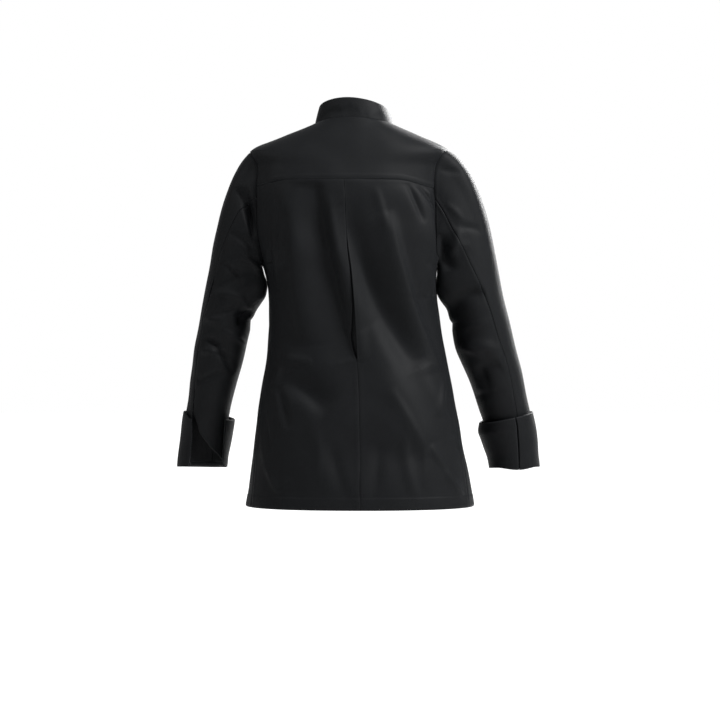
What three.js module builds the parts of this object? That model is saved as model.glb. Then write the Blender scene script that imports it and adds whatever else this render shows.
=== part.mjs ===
// A chef jacket filled out with no wearer: a hollow double-breasted jacket of cotton twill
// with a back yoke, a centre back pleat, set-in two-piece sleeves and turned-back cuffs.
// Millimetres, +Z up. The front faces -Y, the wearer's left is +X, and the origin is the
// centre of the neck seam, where the wearer's neck and shoulders hold the jacket.
import * as THREE from 'three';

// Cloth and seams
const CLOTH = 1.8;
const COLLAR_CLOTH = 2.6;
const CUFF_CLOTH = 2.2;
const SEAM_GAP = 0.3;
const SLEEVE_SEAM_GAP = 0.5;
const ARMHOLE_GAP = 0.6;
// How far the sleeve stands out of the body cloth where it joins it under the arm
const UNDERARM_STEP = 2.5;

// Levels of the torso, named by the height of its side line
const NECK_LEVEL = 0;
const SHOULDER_TIP_LEVEL = -45;
const YOKE_LEVEL = -103;
const UNDERARM_LEVEL = -248;
const PLEAT_TOP_LEVEL = -190;
const PLEAT_TACK_LEVEL = -420;
const HEM_LEVEL = -680;

// Front closing
const FRONT_LAP = 80;
const LAPEL_CORNER_LEVEL = -30;
const LAPEL_RISE = 3.3;
const LAPEL_RISE_WIDTH = 48;
const LAPEL_SHOULDER_FADE = 0.5;
const LAP_EASE_START = 20;
const LAP_EASE_END = 60;

// Buttons
const BUTTON_RADIUS = 10;
const BUTTON_ROWS = 5;
const BUTTON_PITCH = 80;
const TOP_BUTTON_LEVEL = -66;
const BUTTON_INSET = 20;

// Collar band
const COLLAR_BACK_HEIGHT = 36.5;
const COLLAR_SIDE_HEIGHT = 30;
const COLLAR_LEAN = 8.5;
const COLLAR_OPENING = 4;
const COLLAR_TILT = 2.5;
const COLLAR_STEP = 0.8;
const NECK_RADIUS = 66;

const DEGREE = Math.PI / 180;
const TORSO_SQUARENESS = 2.3;
const WIDEST_TRIM_RADIUS = 150;
const DROP_POWER = 1.5;

// The torso's rings, from the neck to the hem. Half widths are from the ring's own axis,
// depths are y of the side, the centre back and the centre front, and the two lifts are how
// far the centre back and the centre front lie above the side.
const TORSO_COLUMNS = [
  'level', 'axis', 'left', 'right', 'side', 'back', 'front', 'back_lift', 'front_lift', 'yaw',
];
const TORSO_RINGS = [
  [0, 1, 71, 71, -2, 62, -66, 10, -68, 10],
  [-20, 9, 124, 125, 0, 80, -84, -5, -65, 7],
  [-45, 15, 172, 181, 2, 93, -97, -13, -60, 4],
  [-72, 16, 167, 174, 2, 101, -109, -8, -49, 2],
  [-103, 17, 170, 172, 2, 108, -118, 0, -37, 1],
  [-146, 16.4, 172, 172, 0, 112, -128, 0, -20, 0],
  [-190, 15.2, 169, 170, 0, 112, -135, 0, -8, 0],
  [-225, 12, 163, 163, 0, 111, -139, 0, -2, 0],
  [-260, 7, 154, 152, 0, 108, -138, 0, 0, 0],
  [-310, 2.3, 151, 148.5, 0, 103, -130, 0, 0, 0],
  [-370, -2, 155.5, 152, 1, 99, -119, 0, 0, 0],
  [-427, -4.8, 163.3, 160.3, 3, 104, -118, 0, 0, 0],
  [-484, -7, 176, 169.5, 4, 115, -122, 0, 0, 0],
  [-556, -8, 186, 181, 4, 128, -129, 0, 0, 0],
  [-599, -8.5, 191.4, 189, 3, 133, -133, 0, 0, 0],
  [-643, -9, 197.6, 197.5, 2, 136, -138, 0, 0, 0],
  [-690, -9, 205, 205, 2, 138, -140, 0, 0, 0],
].map((row) => Object.fromEntries(TORSO_COLUMNS.map((column, i) => [column, row[i]])));

// How far behind the side line the side seams run, as an angle about the axis
const SIDE_SEAMS = [
  { level: -248, angle: 0 },
  { level: -300, angle: 4 },
  { level: -400, angle: 7 },
  { level: -500, angle: 10 },
  { level: -690, angle: 17 },
];

// The shoulder seams, as an angle behind the side line
const SHOULDER_SEAM_ANGLE = 5;

// Half angles of the armholes about the torso's axis, behind and in front of the side line
const ARMHOLE_BACK_ANGLE = 19;
const ARMHOLE_FRONT_ANGLE = 21;
const ARMHOLE_FULLNESS = 0.38;

// How wide the pleat's mouth stands open, and how far its lapping edge is raised
const PLEAT_MOUTH = [
  { level: -190, open: 0, raise: 0 },
  { level: -250, open: 1.4, raise: 3 },
  { level: -320, open: 2.6, raise: 4.5 },
  { level: -355, open: 6, raise: 5 },
  { level: -385, open: 8.5, raise: 4.5 },
  { level: -410, open: 4, raise: 3 },
  { level: -420, open: 0, raise: 1 },
];
const PLEAT_RAISE_WIDTH = 26;
const PLEAT_UNDERLAY_HALF_WIDTH = 34;
const PLEAT_UNDERLAY_OVERRUN = 12;
const PLEAT_UNDERLAY_DEPTH = 3.8;

// How far the folds die away below the yoke seam, and below and above the hem
const YOKE_EASE = 14;
const HEM_EASE_BELOW = 20;
const HEM_EASE_ABOVE = 40;

// How quickly a fold rises from its ends, lower for quicker
const FOLD_FADE = 0.8;

// Folds of the back, seen from behind: from one end to the other with a sideways bow, the
// half widths to the left and to the right on the way down, and the height, which is negative
// for a trough
const BACK_FOLDS = [
  { x1: 76, z1: -88, x2: 4, z2: -420, bow: -3, left: 44, right: 14, height: -12 },
  { x1: 118, z1: -108, x2: 84, z2: -392, bow: -6, left: 18, right: 26, height: 8.5 },
  { x1: 18, z1: -140, x2: -112, z2: -436, bow: -20, left: 22, right: 26, height: -12 },
  { x1: -58, z1: -160, x2: -146, z2: -440, bow: -12, left: 22, right: 12, height: 9.5 },
  { x1: -118, z1: -110, x2: -128, z2: -306, bow: 0, left: 40, right: 9, height: 9 },
  { x1: -22, z1: -362, x2: -132, z2: -566, bow: -3, left: 42, right: 26, height: 7 },
  { x1: 125, z1: -452, x2: 44, z2: -509, bow: 2, left: 8, right: 32, height: -9 },
  { x1: 60, z1: -590, x2: -120, z2: -590, bow: 12, left: 40, right: 40, height: -7 },
  { x1: -110, z1: -420, x2: -172, z2: -560, bow: 4, left: 16, right: 16, height: 4 },
  { x1: -91, z1: -108, x2: -115, z2: -178, bow: 1, left: 8, right: 8, height: -4.5 },
  { x1: -108, z1: -108, x2: -141, z2: -163, bow: 2, left: 8, right: 8, height: -6 },
  { x1: 137, z1: -463, x2: 118, z2: -540, bow: 2, left: 8, right: 10, height: -4 },
  { x1: 160, z1: -507, x2: 151, z2: -580, bow: 0, left: 8, right: 8, height: -3.4 },
  { x1: -134, z1: -560, x2: -195, z2: -665, bow: 4, left: 12, right: 12, height: 4 },
];

// Folds of the front, seen from the front, in the same columns
const FRONT_FOLDS = [
  { x1: 110, z1: -300, x2: 40, z2: -180, bow: -8, left: 18, right: 18, height: -6 },
  { x1: 130, z1: -330, x2: 60, z2: -250, bow: -6, left: 14, right: 14, height: 5 },
  { x1: -100, z1: -310, x2: -46, z2: -190, bow: 8, left: 18, right: 18, height: -6 },
  { x1: 130, z1: -420, x2: 40, z2: -450, bow: 8, left: 22, right: 22, height: -6 },
  { x1: -130, z1: -400, x2: -50, z2: -440, bow: -8, left: 20, right: 20, height: -6 },
  { x1: 120, z1: -500, x2: 150, z2: -660, bow: 6, left: 22, right: 22, height: 7 },
  { x1: -110, z1: -500, x2: -150, z2: -660, bow: -6, left: 24, right: 24, height: 7 },
];

// The arms' sections below the armpit, down to the end of the sleeve. Outward and backward
// are half widths, and tilt is how far the outer side is lifted.
const LEFT_ARM = [
  { x: 232, y: -18, z: -340, outward: 47, backward: 52, tilt: 10.6 },
  { x: 241.5, y: -25, z: -383, outward: 46.5, backward: 51, tilt: 10.6 },
  { x: 248, y: -30, z: -412, outward: 45.5, backward: 49.5, tilt: 10.6 },
  { x: 257, y: -38, z: -455, outward: 42.5, backward: 46.5, tilt: 10.6 },
  { x: 265.5, y: -47, z: -500, outward: 39.5, backward: 43, tilt: 10 },
  { x: 272, y: -54, z: -540, outward: 39.2, backward: 41, tilt: 8 },
  { x: 277, y: -61, z: -580, outward: 40.2, backward: 40.5, tilt: 4 },
  { x: 279.5, y: -63, z: -606, outward: 41, backward: 40.5, tilt: 1 },
];
const RIGHT_ARM = [
  { x: -224, y: -18, z: -340, outward: 51, backward: 54, tilt: 15 },
  { x: -233, y: -25, z: -383, outward: 52.5, backward: 53, tilt: 15 },
  { x: -242.5, y: -30, z: -412, outward: 51, backward: 51, tilt: 15 },
  { x: -258, y: -38, z: -455, outward: 48, backward: 48, tilt: 15 },
  { x: -270.5, y: -47, z: -500, outward: 45, backward: 44.5, tilt: 14 },
  { x: -281, y: -54, z: -540, outward: 43, backward: 42, tilt: 10 },
  { x: -287.5, y: -61, z: -580, outward: 42, backward: 41, tilt: 5 },
  { x: -291, y: -63, z: -607, outward: 41.5, backward: 41, tilt: 2 },
];
// How far a section's back lies above its middle, as a share, at the armpit and at the end
const ARM_LEAN = -0.1;
const CUFF_LEAN = 0.05;

// The sleeve seams and the slit, as angles about the arm, 0 on its outer side and 90 behind.
// Part runs from 0 at the armhole over 1 at the armpit section to 2 at the sleeve's end, and
// the slit's two edges part from each other near the end.
const LEFT_SEAMS = [
  { part: 0, elbow: 82.5, under: 82.5, inseam: 232.5 },
  { part: 0.3, elbow: 62, under: 62, inseam: 236 },
  { part: 0.6, elbow: 46, under: 46, inseam: 240 },
  { part: 1, elbow: 37, under: 37, inseam: 244 },
  { part: 1.3, elbow: 37, under: 37, inseam: 246 },
  { part: 1.66, elbow: 48.7, under: 48.7, inseam: 248 },
  { part: 1.72, elbow: 51, under: 64, inseam: 248 },
  { part: 1.8, elbow: 57, under: 78, inseam: 248 },
  { part: 1.9, elbow: 61, under: 112, inseam: 248 },
  { part: 2, elbow: 62, under: 162, inseam: 248 },
];
const RIGHT_SEAMS = [
  { part: 0, elbow: 82.5, under: 82.5, inseam: 232.5 },
  { part: 0.3, elbow: 84, under: 84, inseam: 236 },
  { part: 0.6, elbow: 79, under: 79, inseam: 240 },
  { part: 1, elbow: 65, under: 65, inseam: 244 },
  { part: 1.3, elbow: 58, under: 58, inseam: 246 },
  { part: 1.66, elbow: 66, under: 66, inseam: 248 },
  { part: 1.8, elbow: 74, under: 75, inseam: 248 },
  { part: 2, elbow: 84, under: 86, inseam: 248 },
];

// Folds of the sleeves, seen from behind, in the columns of the back's folds
const LEFT_SLEEVE_FOLDS = [
  { x1: 205, z1: -112, x2: 176, z2: -200, bow: 4, left: 9, right: 9, height: -8 },
  { x1: 192, z1: -130, x2: 162, z2: -225, bow: 4, left: 7, right: 7, height: -8 },
  { x1: 252, z1: -300, x2: 176, z2: -262, bow: 8, left: 14, right: 14, height: -6 },
  { x1: 268, z1: -378, x2: 218, z2: -436, bow: 8, left: 11, right: 11, height: -6 },
  { x1: 212, z1: -352, x2: 186, z2: -332, bow: 4, left: 12, right: 12, height: -6 },
  { x1: 276, z1: -340, x2: 230, z2: -360, bow: 6, left: 12, right: 12, height: 4 },
];
const RIGHT_SLEEVE_FOLDS = [
  { x1: -152, z1: -196, x2: -172, z2: -262, bow: -6, left: 12, right: 12, height: -7 },
  { x1: -186, z1: -186, x2: -166, z2: -236, bow: 4, left: 10, right: 10, height: 4 },
  { x1: -168, z1: -330, x2: -232, z2: -300, bow: 8, left: 14, right: 14, height: -6 },
  { x1: -190, z1: -400, x2: -262, z2: -408, bow: 8, left: 13, right: 13, height: 5 },
  { x1: -216, z1: -450, x2: -262, z2: -430, bow: 6, left: 14, right: 14, height: -5 },
];

// The sleeve head: its way out of the armhole at the shoulder, behind or in front, and under
// the arm, with how strongly it keeps to that way at each end
const LEFT_HEAD = { top_x: 160, top_z: -120, side_x: 90, side_z: -120, under_x: 40, under_z: -130 };
const RIGHT_HEAD = { top_x: 202, top_z: -62, side_x: 90, side_z: -120, under_x: 40, under_z: -130 };
const HEAD_REACH_TOP = 300;
const HEAD_REACH_SIDE = 180;
const HEAD_REACH_UNDER = 60;
const HEAD_SWAY = 12;
// How sharply the cloth under the arm turns from the body's side into the arm
const UNDERARM_TURN = 62;

// The cuffs, from the seam inside the sleeve's end, round the fold and up outside the sleeve:
// along is how far below the sleeve's end, and out is how far outside its surface
const CUFF_FOLD = [
  { along: 0.4, out_outer: -0.9, out_inner: -0.9 },
  { along: 5, out_outer: -0.9, out_inner: -0.9 },
  { along: 7.2, out_outer: -0.2, out_inner: -0.2 },
  { along: 8.1, out_outer: 1.7, out_inner: 1.7 },
  { along: 7.2, out_outer: 3.6, out_inner: 3.6 },
  { along: 5, out_outer: 4.3, out_inner: 4.3 },
];
const LEFT_CUFF = {
  rows: [
    { along: -12, out_outer: 4.3, out_inner: 5 },
    { along: -30, out_outer: 4.5, out_inner: 7 },
    { along: -52, out_outer: 4.8, out_inner: 9 },
    { along: -72, out_outer: 5, out_inner: 10 },
    { along: -88, out_outer: 4.8, out_inner: 10 },
  ],
  // Angles of the flap's two edges, from the inner seam to the top
  edges: [
    { step: 0, first: 62, last: 165 },
    { step: 0.4, first: 62, last: 163 },
    { step: 0.6, first: 63, last: 146 },
    { step: 0.8, first: 62, last: 139 },
    { step: 1, first: 55, last: 135 },
  ],
  corner_drop: 9,
  slit_sag: 0,
};
const RIGHT_CUFF = {
  rows: [
    { along: -12, out_outer: 4.6, out_inner: 5 },
    { along: -30, out_outer: 5, out_inner: 8.5 },
    { along: -52, out_outer: 4.6, out_inner: 12 },
    { along: -68, out_outer: 4.4, out_inner: 13.5 },
    { along: -86, out_outer: 4.2, out_inner: 7 },
  ],
  edges: [
    { step: 0, first: 84, last: 86 },
    { step: 0.5, first: 82, last: 84.5 },
    { step: 1, first: 74, last: 76.5 },
  ],
  corner_drop: 0,
  slit_sag: 5,
};

// How finely each piece is divided
const YOKE_COLUMNS = 24;
const BACK_COLUMNS = 16;
const FRONT_COLUMNS = 12;
const LOWER_ROWS = 20;
const UNDERLAY_GRID = [4, 12];
const COLLAR_GRID = [32, 3];
const ARMHOLE_STEP = 15;
const SLEEVE_HEAD_STEPS = 8;
const SLEEVE_ARM_STEPS = 12;
const CUFF_COLUMNS = 18;
const BUTTON_SIDES = 14;

const SOFT_BLACK = new THREE.Color(0x1b1b1d);
const BUTTON_BLACK = new THREE.Color(0x141416);

const jacket = new THREE.Group();

/** Value of one column of a table at a key, smooth through its rows. */
function tableValue(rows, key, column, at) {
  const last = rows.length - 1;
  const falling = rows[last][key] < rows[0][key];
  let i = 0;
  while (i < last - 1 && (falling ? at < rows[i + 1][key] : at > rows[i + 1][key])) i += 1;
  const slope = (j) => {
    const before = rows[Math.max(j - 1, 0)];
    const after = rows[Math.min(j + 1, last)];
    return (after[column] - before[column]) / (after[key] - before[key]);
  };
  const span = rows[i + 1][key] - rows[i][key];
  const t = Math.min(Math.max((at - rows[i][key]) / span, 0), 1);
  const t2 = t * t;
  const t3 = t2 * t;
  return (2 * t3 - 3 * t2 + 1) * rows[i][column]
    + (t3 - 2 * t2 + t) * span * slope(i)
    + (3 * t2 - 2 * t3) * rows[i + 1][column]
    + (t3 - t2) * span * slope(i + 1);
}

/** Value of one column of a table at a key, straight between its rows. */
function tableLine(rows, key, column, at) {
  const last = rows.length - 1;
  const falling = rows[last][key] < rows[0][key];
  let i = 0;
  while (i < last - 1 && (falling ? at < rows[i + 1][key] : at > rows[i + 1][key])) i += 1;
  const span = rows[i + 1][key] - rows[i][key];
  const t = Math.min(Math.max((at - rows[i][key]) / span, 0), 1);
  return THREE.MathUtils.lerp(rows[i][column], rows[i + 1][column], t);
}

const { smoothstep, lerp } = THREE.MathUtils;

/** Height of all folds of a table at a place seen square on. */
function foldHeight(folds, x, z) {
  let height = 0;
  for (const fold of folds) {
    const dx = fold.x2 - fold.x1;
    const dz = fold.z2 - fold.z1;
    const length = Math.hypot(dx, dz);
    const along = ((x - fold.x1) * dx + (z - fold.z1) * dz) / (length * length);
    if (along <= 0 || along >= 1) continue;
    const bowed = fold.bow * 4 * along * (1 - along);
    const across = ((x - fold.x1) * dz - (z - fold.z1) * dx) / length - bowed;
    const fade = Math.sin(Math.PI * along) ** FOLD_FADE;
    const width = across > 0 ? fold.right : fold.left;
    height += fold.height * fade * Math.exp(-((across / width) ** 2));
  }
  return height;
}

/** Place on the torso's smooth surface, at an angle about its axis and a level. */
function torsoSmooth(angle, level) {
  const value = (column) => tableValue(TORSO_RINGS, 'level', column, level);
  const cos = Math.cos(angle);
  const sin = Math.sin(angle);
  const side = value('side');
  const wide = cos >= 0 ? value('left') : value('right');
  const deep = sin >= 0 ? value('back') - side : side - value('front');
  const power = TORSO_SQUARENESS;
  const radius = (Math.abs(cos / wide) ** power + Math.abs(sin / deep) ** power) ** (-1 / power);
  const x = radius * cos;
  const y = side + radius * sin;
  const yaw = value('yaw') * DEGREE;
  const lift = value('back_lift') * Math.max(sin, 0) ** DROP_POWER
    + value('front_lift') * Math.max(-sin, 0) ** DROP_POWER;
  return new THREE.Vector3(
    value('axis') + x * Math.cos(yaw) + y * Math.sin(yaw),
    y * Math.cos(yaw) - x * Math.sin(yaw),
    level + lift,
  );
}

/** Direction out of a surface given by two coordinates, by small steps along each. */
function outwardOf(surface, a, b, stepA, stepB) {
  const alongA = surface(a + stepA, b).sub(surface(a - stepA, b));
  const alongB = surface(a, b + stepB).sub(surface(a, b - stepB));
  return alongA.cross(alongB).normalize();
}

const torsoOutward = (angle, level) => outwardOf(torsoSmooth, angle, level, 0.01, 0.5);

/** Place on the torso's surface with its folds. */
function torsoPoint(angle, level, extra = 0) {
  const place = torsoSmooth(angle, level);
  const sin = Math.sin(angle);
  const facing = smoothstep(Math.abs(sin), 0.08, 0.4);
  let height = 0;
  if (sin <= 0) {
    const past = Math.abs(place.x) - FRONT_LAP;
    height = foldHeight(FRONT_FOLDS, place.x, place.z) * smoothstep(past, LAP_EASE_START, LAP_EASE_END);
  } else if (level <= YOKE_LEVEL) {
    height = foldHeight(BACK_FOLDS, place.x, place.z)
      * smoothstep(YOKE_LEVEL - level, 0, YOKE_EASE)
      * smoothstep(level, HEM_LEVEL - HEM_EASE_BELOW, HEM_LEVEL + HEM_EASE_ABOVE);
  }
  return place.addScaledVector(torsoOutward(angle, level), height * facing + extra);
}

/** A closed wall of cloth over a grid of outer places, with a thickness inwards. */
function addWall(name, [columns, rows], outer, inward, thickness, colour = SOFT_BLACK) {
  const positions = [];
  const index = [];
  const across = columns + 1;
  const count = across * (rows + 1);
  const inner = [];
  for (let j = 0; j <= rows; j += 1) {
    for (let i = 0; i <= columns; i += 1) {
      const place = outer(i / columns, j / rows);
      positions.push(place.x, place.y, place.z);
      const back = place.clone().addScaledVector(inward(i / columns, j / rows), thickness);
      inner.push(back.x, back.y, back.z);
    }
  }
  positions.push(...inner);
  const quad = (a, b, c, d) => index.push(a, b, c, a, c, d);
  for (let j = 0; j < rows; j += 1) {
    for (let i = 0; i < columns; i += 1) {
      const a = j * across + i;
      quad(a, a + 1, a + across + 1, a + across);
      quad(count + a + across, count + a + across + 1, count + a + 1, count + a);
    }
  }
  for (let i = 0; i < columns; i += 1) {
    const low = rows * across + i;
    quad(count + i + 1, i + 1, i, count + i);
    quad(low, low + 1, count + low + 1, count + low);
  }
  for (let j = 0; j < rows; j += 1) {
    const first = j * across;
    const end = first + columns;
    quad(first, first + across, count + first + across, count + first);
    quad(count + end + across, end + across, end, count + end);
  }
  addMesh(name, positions, index, colour);
}

/** A named mesh of shared points, turned so that its faces point out. */
function addMesh(name, positions, index, colour) {
  let volume = 0;
  const at = (k) => new THREE.Vector3().fromArray(positions, 3 * k);
  for (let k = 0; k < index.length; k += 3) {
    volume += at(index[k]).dot(at(index[k + 1]).cross(at(index[k + 2])));
  }
  const faces = volume < 0 ? index.slice().reverse() : index;
  const geometry = new THREE.BufferGeometry();
  geometry.setAttribute('position', new THREE.Float32BufferAttribute(positions, 3));
  geometry.setIndex(faces);
  geometry.computeVertexNormals();
  const material = new THREE.MeshStandardMaterial({ color: colour, roughness: 0.85, metalness: 0 });
  const mesh = new THREE.Mesh(geometry, material);
  mesh.name = name;
  jacket.add(mesh);
}

/** A panel of the torso between two edges, each an angle that depends on the level. */
function addTorsoPanel(name, grid, levels, firstEdge, lastEdge, raised = () => 0) {
  const rows = grid[1];
  const levelAt = (v) => levels(v * rows);
  const angleAt = (u, level) => {
    const first = firstEdge(level);
    const last = lastEdge(level);
    const radius = torsoSmooth((first + last) / 2, level).length();
    const trim = SEAM_GAP / 2 / Math.min(radius, WIDEST_TRIM_RADIUS);
    return lerp(first + trim, last - trim, u);
  };
  const outer = (u, v) => {
    const level = levelAt(v);
    const angle = angleAt(u, level);
    return torsoPoint(angle, level, raised(angle, level));
  };
  const inward = (u, v) => torsoOutward(angleAt(u, levelAt(v)), levelAt(v)).negate();
  addWall(name, grid, outer, inward, CLOTH);
}

// Armholes: an angle about the arm gives the level and the angle about the torso
const armholeMiddle = (SHOULDER_TIP_LEVEL + UNDERARM_LEVEL) / 2;
const armholeHalf = (SHOULDER_TIP_LEVEL - UNDERARM_LEVEL) / 2;
const armholeLevel = (psi) => armholeMiddle + armholeHalf * Math.cos(psi);
const armholePsi = (level) => {
  const cos = (level - armholeMiddle) / armholeHalf;
  return Math.acos(Math.min(Math.max(cos, -1), 1));
};
const armholeSpread = (psi) => Math.abs(Math.sin(psi)) ** ARMHOLE_FULLNESS;

/** Angle behind the side line at which the back pieces end on one side. */
function backEdge(level) {
  if (level >= SHOULDER_TIP_LEVEL) {
    return SHOULDER_SEAM_ANGLE * DEGREE * smoothstep(level, SHOULDER_TIP_LEVEL, NECK_LEVEL);
  }
  if (level > UNDERARM_LEVEL) return ARMHOLE_BACK_ANGLE * DEGREE * armholeSpread(armholePsi(level));
  return tableLine(SIDE_SEAMS, 'level', 'angle', level) * DEGREE;
}

/** Angle behind the side line at which the fronts end, negative in front of it. */
function frontSideEdge(level) {
  if (level < SHOULDER_TIP_LEVEL && level > UNDERARM_LEVEL) {
    return -ARMHOLE_FRONT_ANGLE * DEGREE * armholeSpread(armholePsi(level));
  }
  return backEdge(level);
}

const centreFront = (level) => torsoSmooth(1.5 * Math.PI, level).x;

/** Angle at which the front surface reaches a distance past the centre front, to the left. */
function frontAngle(past, level) {
  const target = centreFront(level) + past;
  let low = 1.5 * Math.PI - 1.45;
  let high = 1.5 * Math.PI + 1.45;
  for (let k = 0; k < 40; k += 1) {
    const middle = (low + high) / 2;
    if (torsoSmooth(middle, level).x < target) low = middle;
    else high = middle;
  }
  return (low + high) / 2;
}

const lapAt = (level) => FRONT_LAP * Math.min(level / LAPEL_CORNER_LEVEL, 1);

/** Level of a panel's row, straight between its knots. */
const levelRows = (knots) => (row) => {
  const k = Math.min(Math.floor(row + 1e-6), knots.length - 2);
  return lerp(knots[k], knots[k + 1], row - k);
};

// Levels at which the sleeve's columns meet the armhole, behind or in front
const armholeKnots = [];
for (let psi = ARMHOLE_STEP / 2; psi < 180; psi += ARMHOLE_STEP) {
  armholeKnots.push(armholeLevel(psi * DEGREE));
}
const lowerKnots = [];
for (let row = 0; row <= LOWER_ROWS; row += 1) {
  lowerKnots.push(lerp(UNDERARM_LEVEL, HEM_LEVEL, row / LOWER_ROWS));
}
const shoulderKnots = [NECK_LEVEL, -10, -20, LAPEL_CORNER_LEVEL, SHOULDER_TIP_LEVEL];
const yokeKnots = shoulderKnots
  .concat(armholeKnots.filter((level) => level > YOKE_LEVEL), [YOKE_LEVEL]);
const backKnots = [YOKE_LEVEL - SEAM_GAP]
  .concat(armholeKnots.filter((level) => level < YOKE_LEVEL - 5), lowerKnots);
const frontKnots = shoulderKnots.concat(armholeKnots, lowerKnots);

// Yoke
addTorsoPanel(
  'back_yoke',
  [YOKE_COLUMNS, yokeKnots.length - 1],
  levelRows(yokeKnots),
  backEdge,
  (level) => Math.PI - backEdge(level),
);

// Back panels, which meet at the centre back and stand apart at the pleat's mouth
const pleatOpen = (level) => {
  if (level >= PLEAT_TOP_LEVEL || level <= PLEAT_TACK_LEVEL) return 0;
  const open = tableValue(PLEAT_MOUTH, 'level', 'open', level);
  return open / tableValue(TORSO_RINGS, 'level', 'back', level);
};
const pleatRaise = (angle, level) => {
  if (level > PLEAT_TOP_LEVEL || level < PLEAT_TACK_LEVEL) return 0;
  const away = Math.abs(angle - Math.PI / 2) * tableValue(TORSO_RINGS, 'level', 'back', level);
  const raise = tableValue(PLEAT_MOUTH, 'level', 'raise', level);
  return raise * (1 - smoothstep(away, 0, PLEAT_RAISE_WIDTH));
};
const backGrid = [BACK_COLUMNS, backKnots.length - 1];
const backLevels = levelRows(backKnots);
const centreBack = () => Math.PI / 2;
const mouthEdge = (level) => Math.PI / 2 - pleatOpen(level);
const rightBackEdge = (level) => Math.PI - backEdge(level);
addTorsoPanel('back_left', backGrid, backLevels, backEdge, mouthEdge);
addTorsoPanel('back_right', backGrid, backLevels, centreBack, rightBackEdge, pleatRaise);

// Underlay of the pleat, just inside the two back panels
const underlayAngle = (u, level) => Math.PI / 2
  + (u - 0.5) * 2 * PLEAT_UNDERLAY_HALF_WIDTH / tableValue(TORSO_RINGS, 'level', 'back', level);
const underlayLevel = (v) => lerp(
  PLEAT_TOP_LEVEL + PLEAT_UNDERLAY_OVERRUN,
  PLEAT_TACK_LEVEL - PLEAT_UNDERLAY_OVERRUN,
  v,
);
addWall(
  'back_pleat',
  UNDERLAY_GRID,
  (u, v) => torsoPoint(underlayAngle(u, underlayLevel(v)), underlayLevel(v), -PLEAT_UNDERLAY_DEPTH),
  (u, v) => torsoOutward(underlayAngle(u, underlayLevel(v)), underlayLevel(v)).negate(),
  CLOTH,
);

// Fronts: the left one lies under, the right one laps over it and is raised where it does
const frontGrid = [FRONT_COLUMNS, frontKnots.length - 1];
const frontLevels = levelRows(frontKnots);
addTorsoPanel(
  'front_left',
  frontGrid,
  frontLevels,
  (level) => frontAngle(-lapAt(level), level),
  (level) => 2 * Math.PI + frontSideEdge(level),
);
const lapelRise = (angle, level) => {
  const past = torsoSmooth(angle, level).x - centreFront(level) + FRONT_LAP + LAPEL_RISE_WIDTH;
  const fromShoulder = angle - Math.PI + frontSideEdge(level);
  return LAPEL_RISE * smoothstep(past, 0, LAPEL_RISE_WIDTH / 2)
    * smoothstep(fromShoulder, 0, LAPEL_SHOULDER_FADE);
};
addTorsoPanel(
  'front_right',
  frontGrid,
  frontLevels,
  (level) => Math.PI - frontSideEdge(level),
  (level) => frontAngle(lapAt(level), level),
  lapelRise,
);

// Collar band, standing on the neck seam and leaning in, open at the centre front
const collarAngle = (u) => lerp(
  -Math.PI / 2 + COLLAR_OPENING / 2 / NECK_RADIUS,
  1.5 * Math.PI - COLLAR_OPENING / 2 / NECK_RADIUS,
  u,
);
const collarAxis = torsoSmooth(0, NECK_LEVEL).lerp(torsoSmooth(Math.PI, NECK_LEVEL), 0.5);
const collarPoint = (u, v) => {
  const angle = collarAngle(u);
  const seam = torsoSmooth(angle, NECK_LEVEL);
  const axis = new THREE.Vector3(collarAxis.x, collarAxis.y, seam.z);
  const inwards = axis.sub(seam).normalize();
  const height = lerp(COLLAR_SIDE_HEIGHT, COLLAR_BACK_HEIGHT, Math.max(Math.sin(angle), 0))
    + COLLAR_TILT * Math.cos(angle);
  const place = seam.addScaledVector(inwards, COLLAR_LEAN * v ** 1.2);
  place.z += COLLAR_STEP + height * v;
  return place;
};
const collarInward = (u, v) => {
  const stepU = 0.002;
  const stepV = 0.01;
  const atU = Math.min(Math.max(u, stepU), 1 - stepU);
  const atV = Math.min(Math.max(v, stepV), 1 - stepV);
  return outwardOf(collarPoint, atU, atV, stepU, stepV).negate();
};
addWall('collar', COLLAR_GRID, collarPoint, collarInward, COLLAR_CLOTH);

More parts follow.
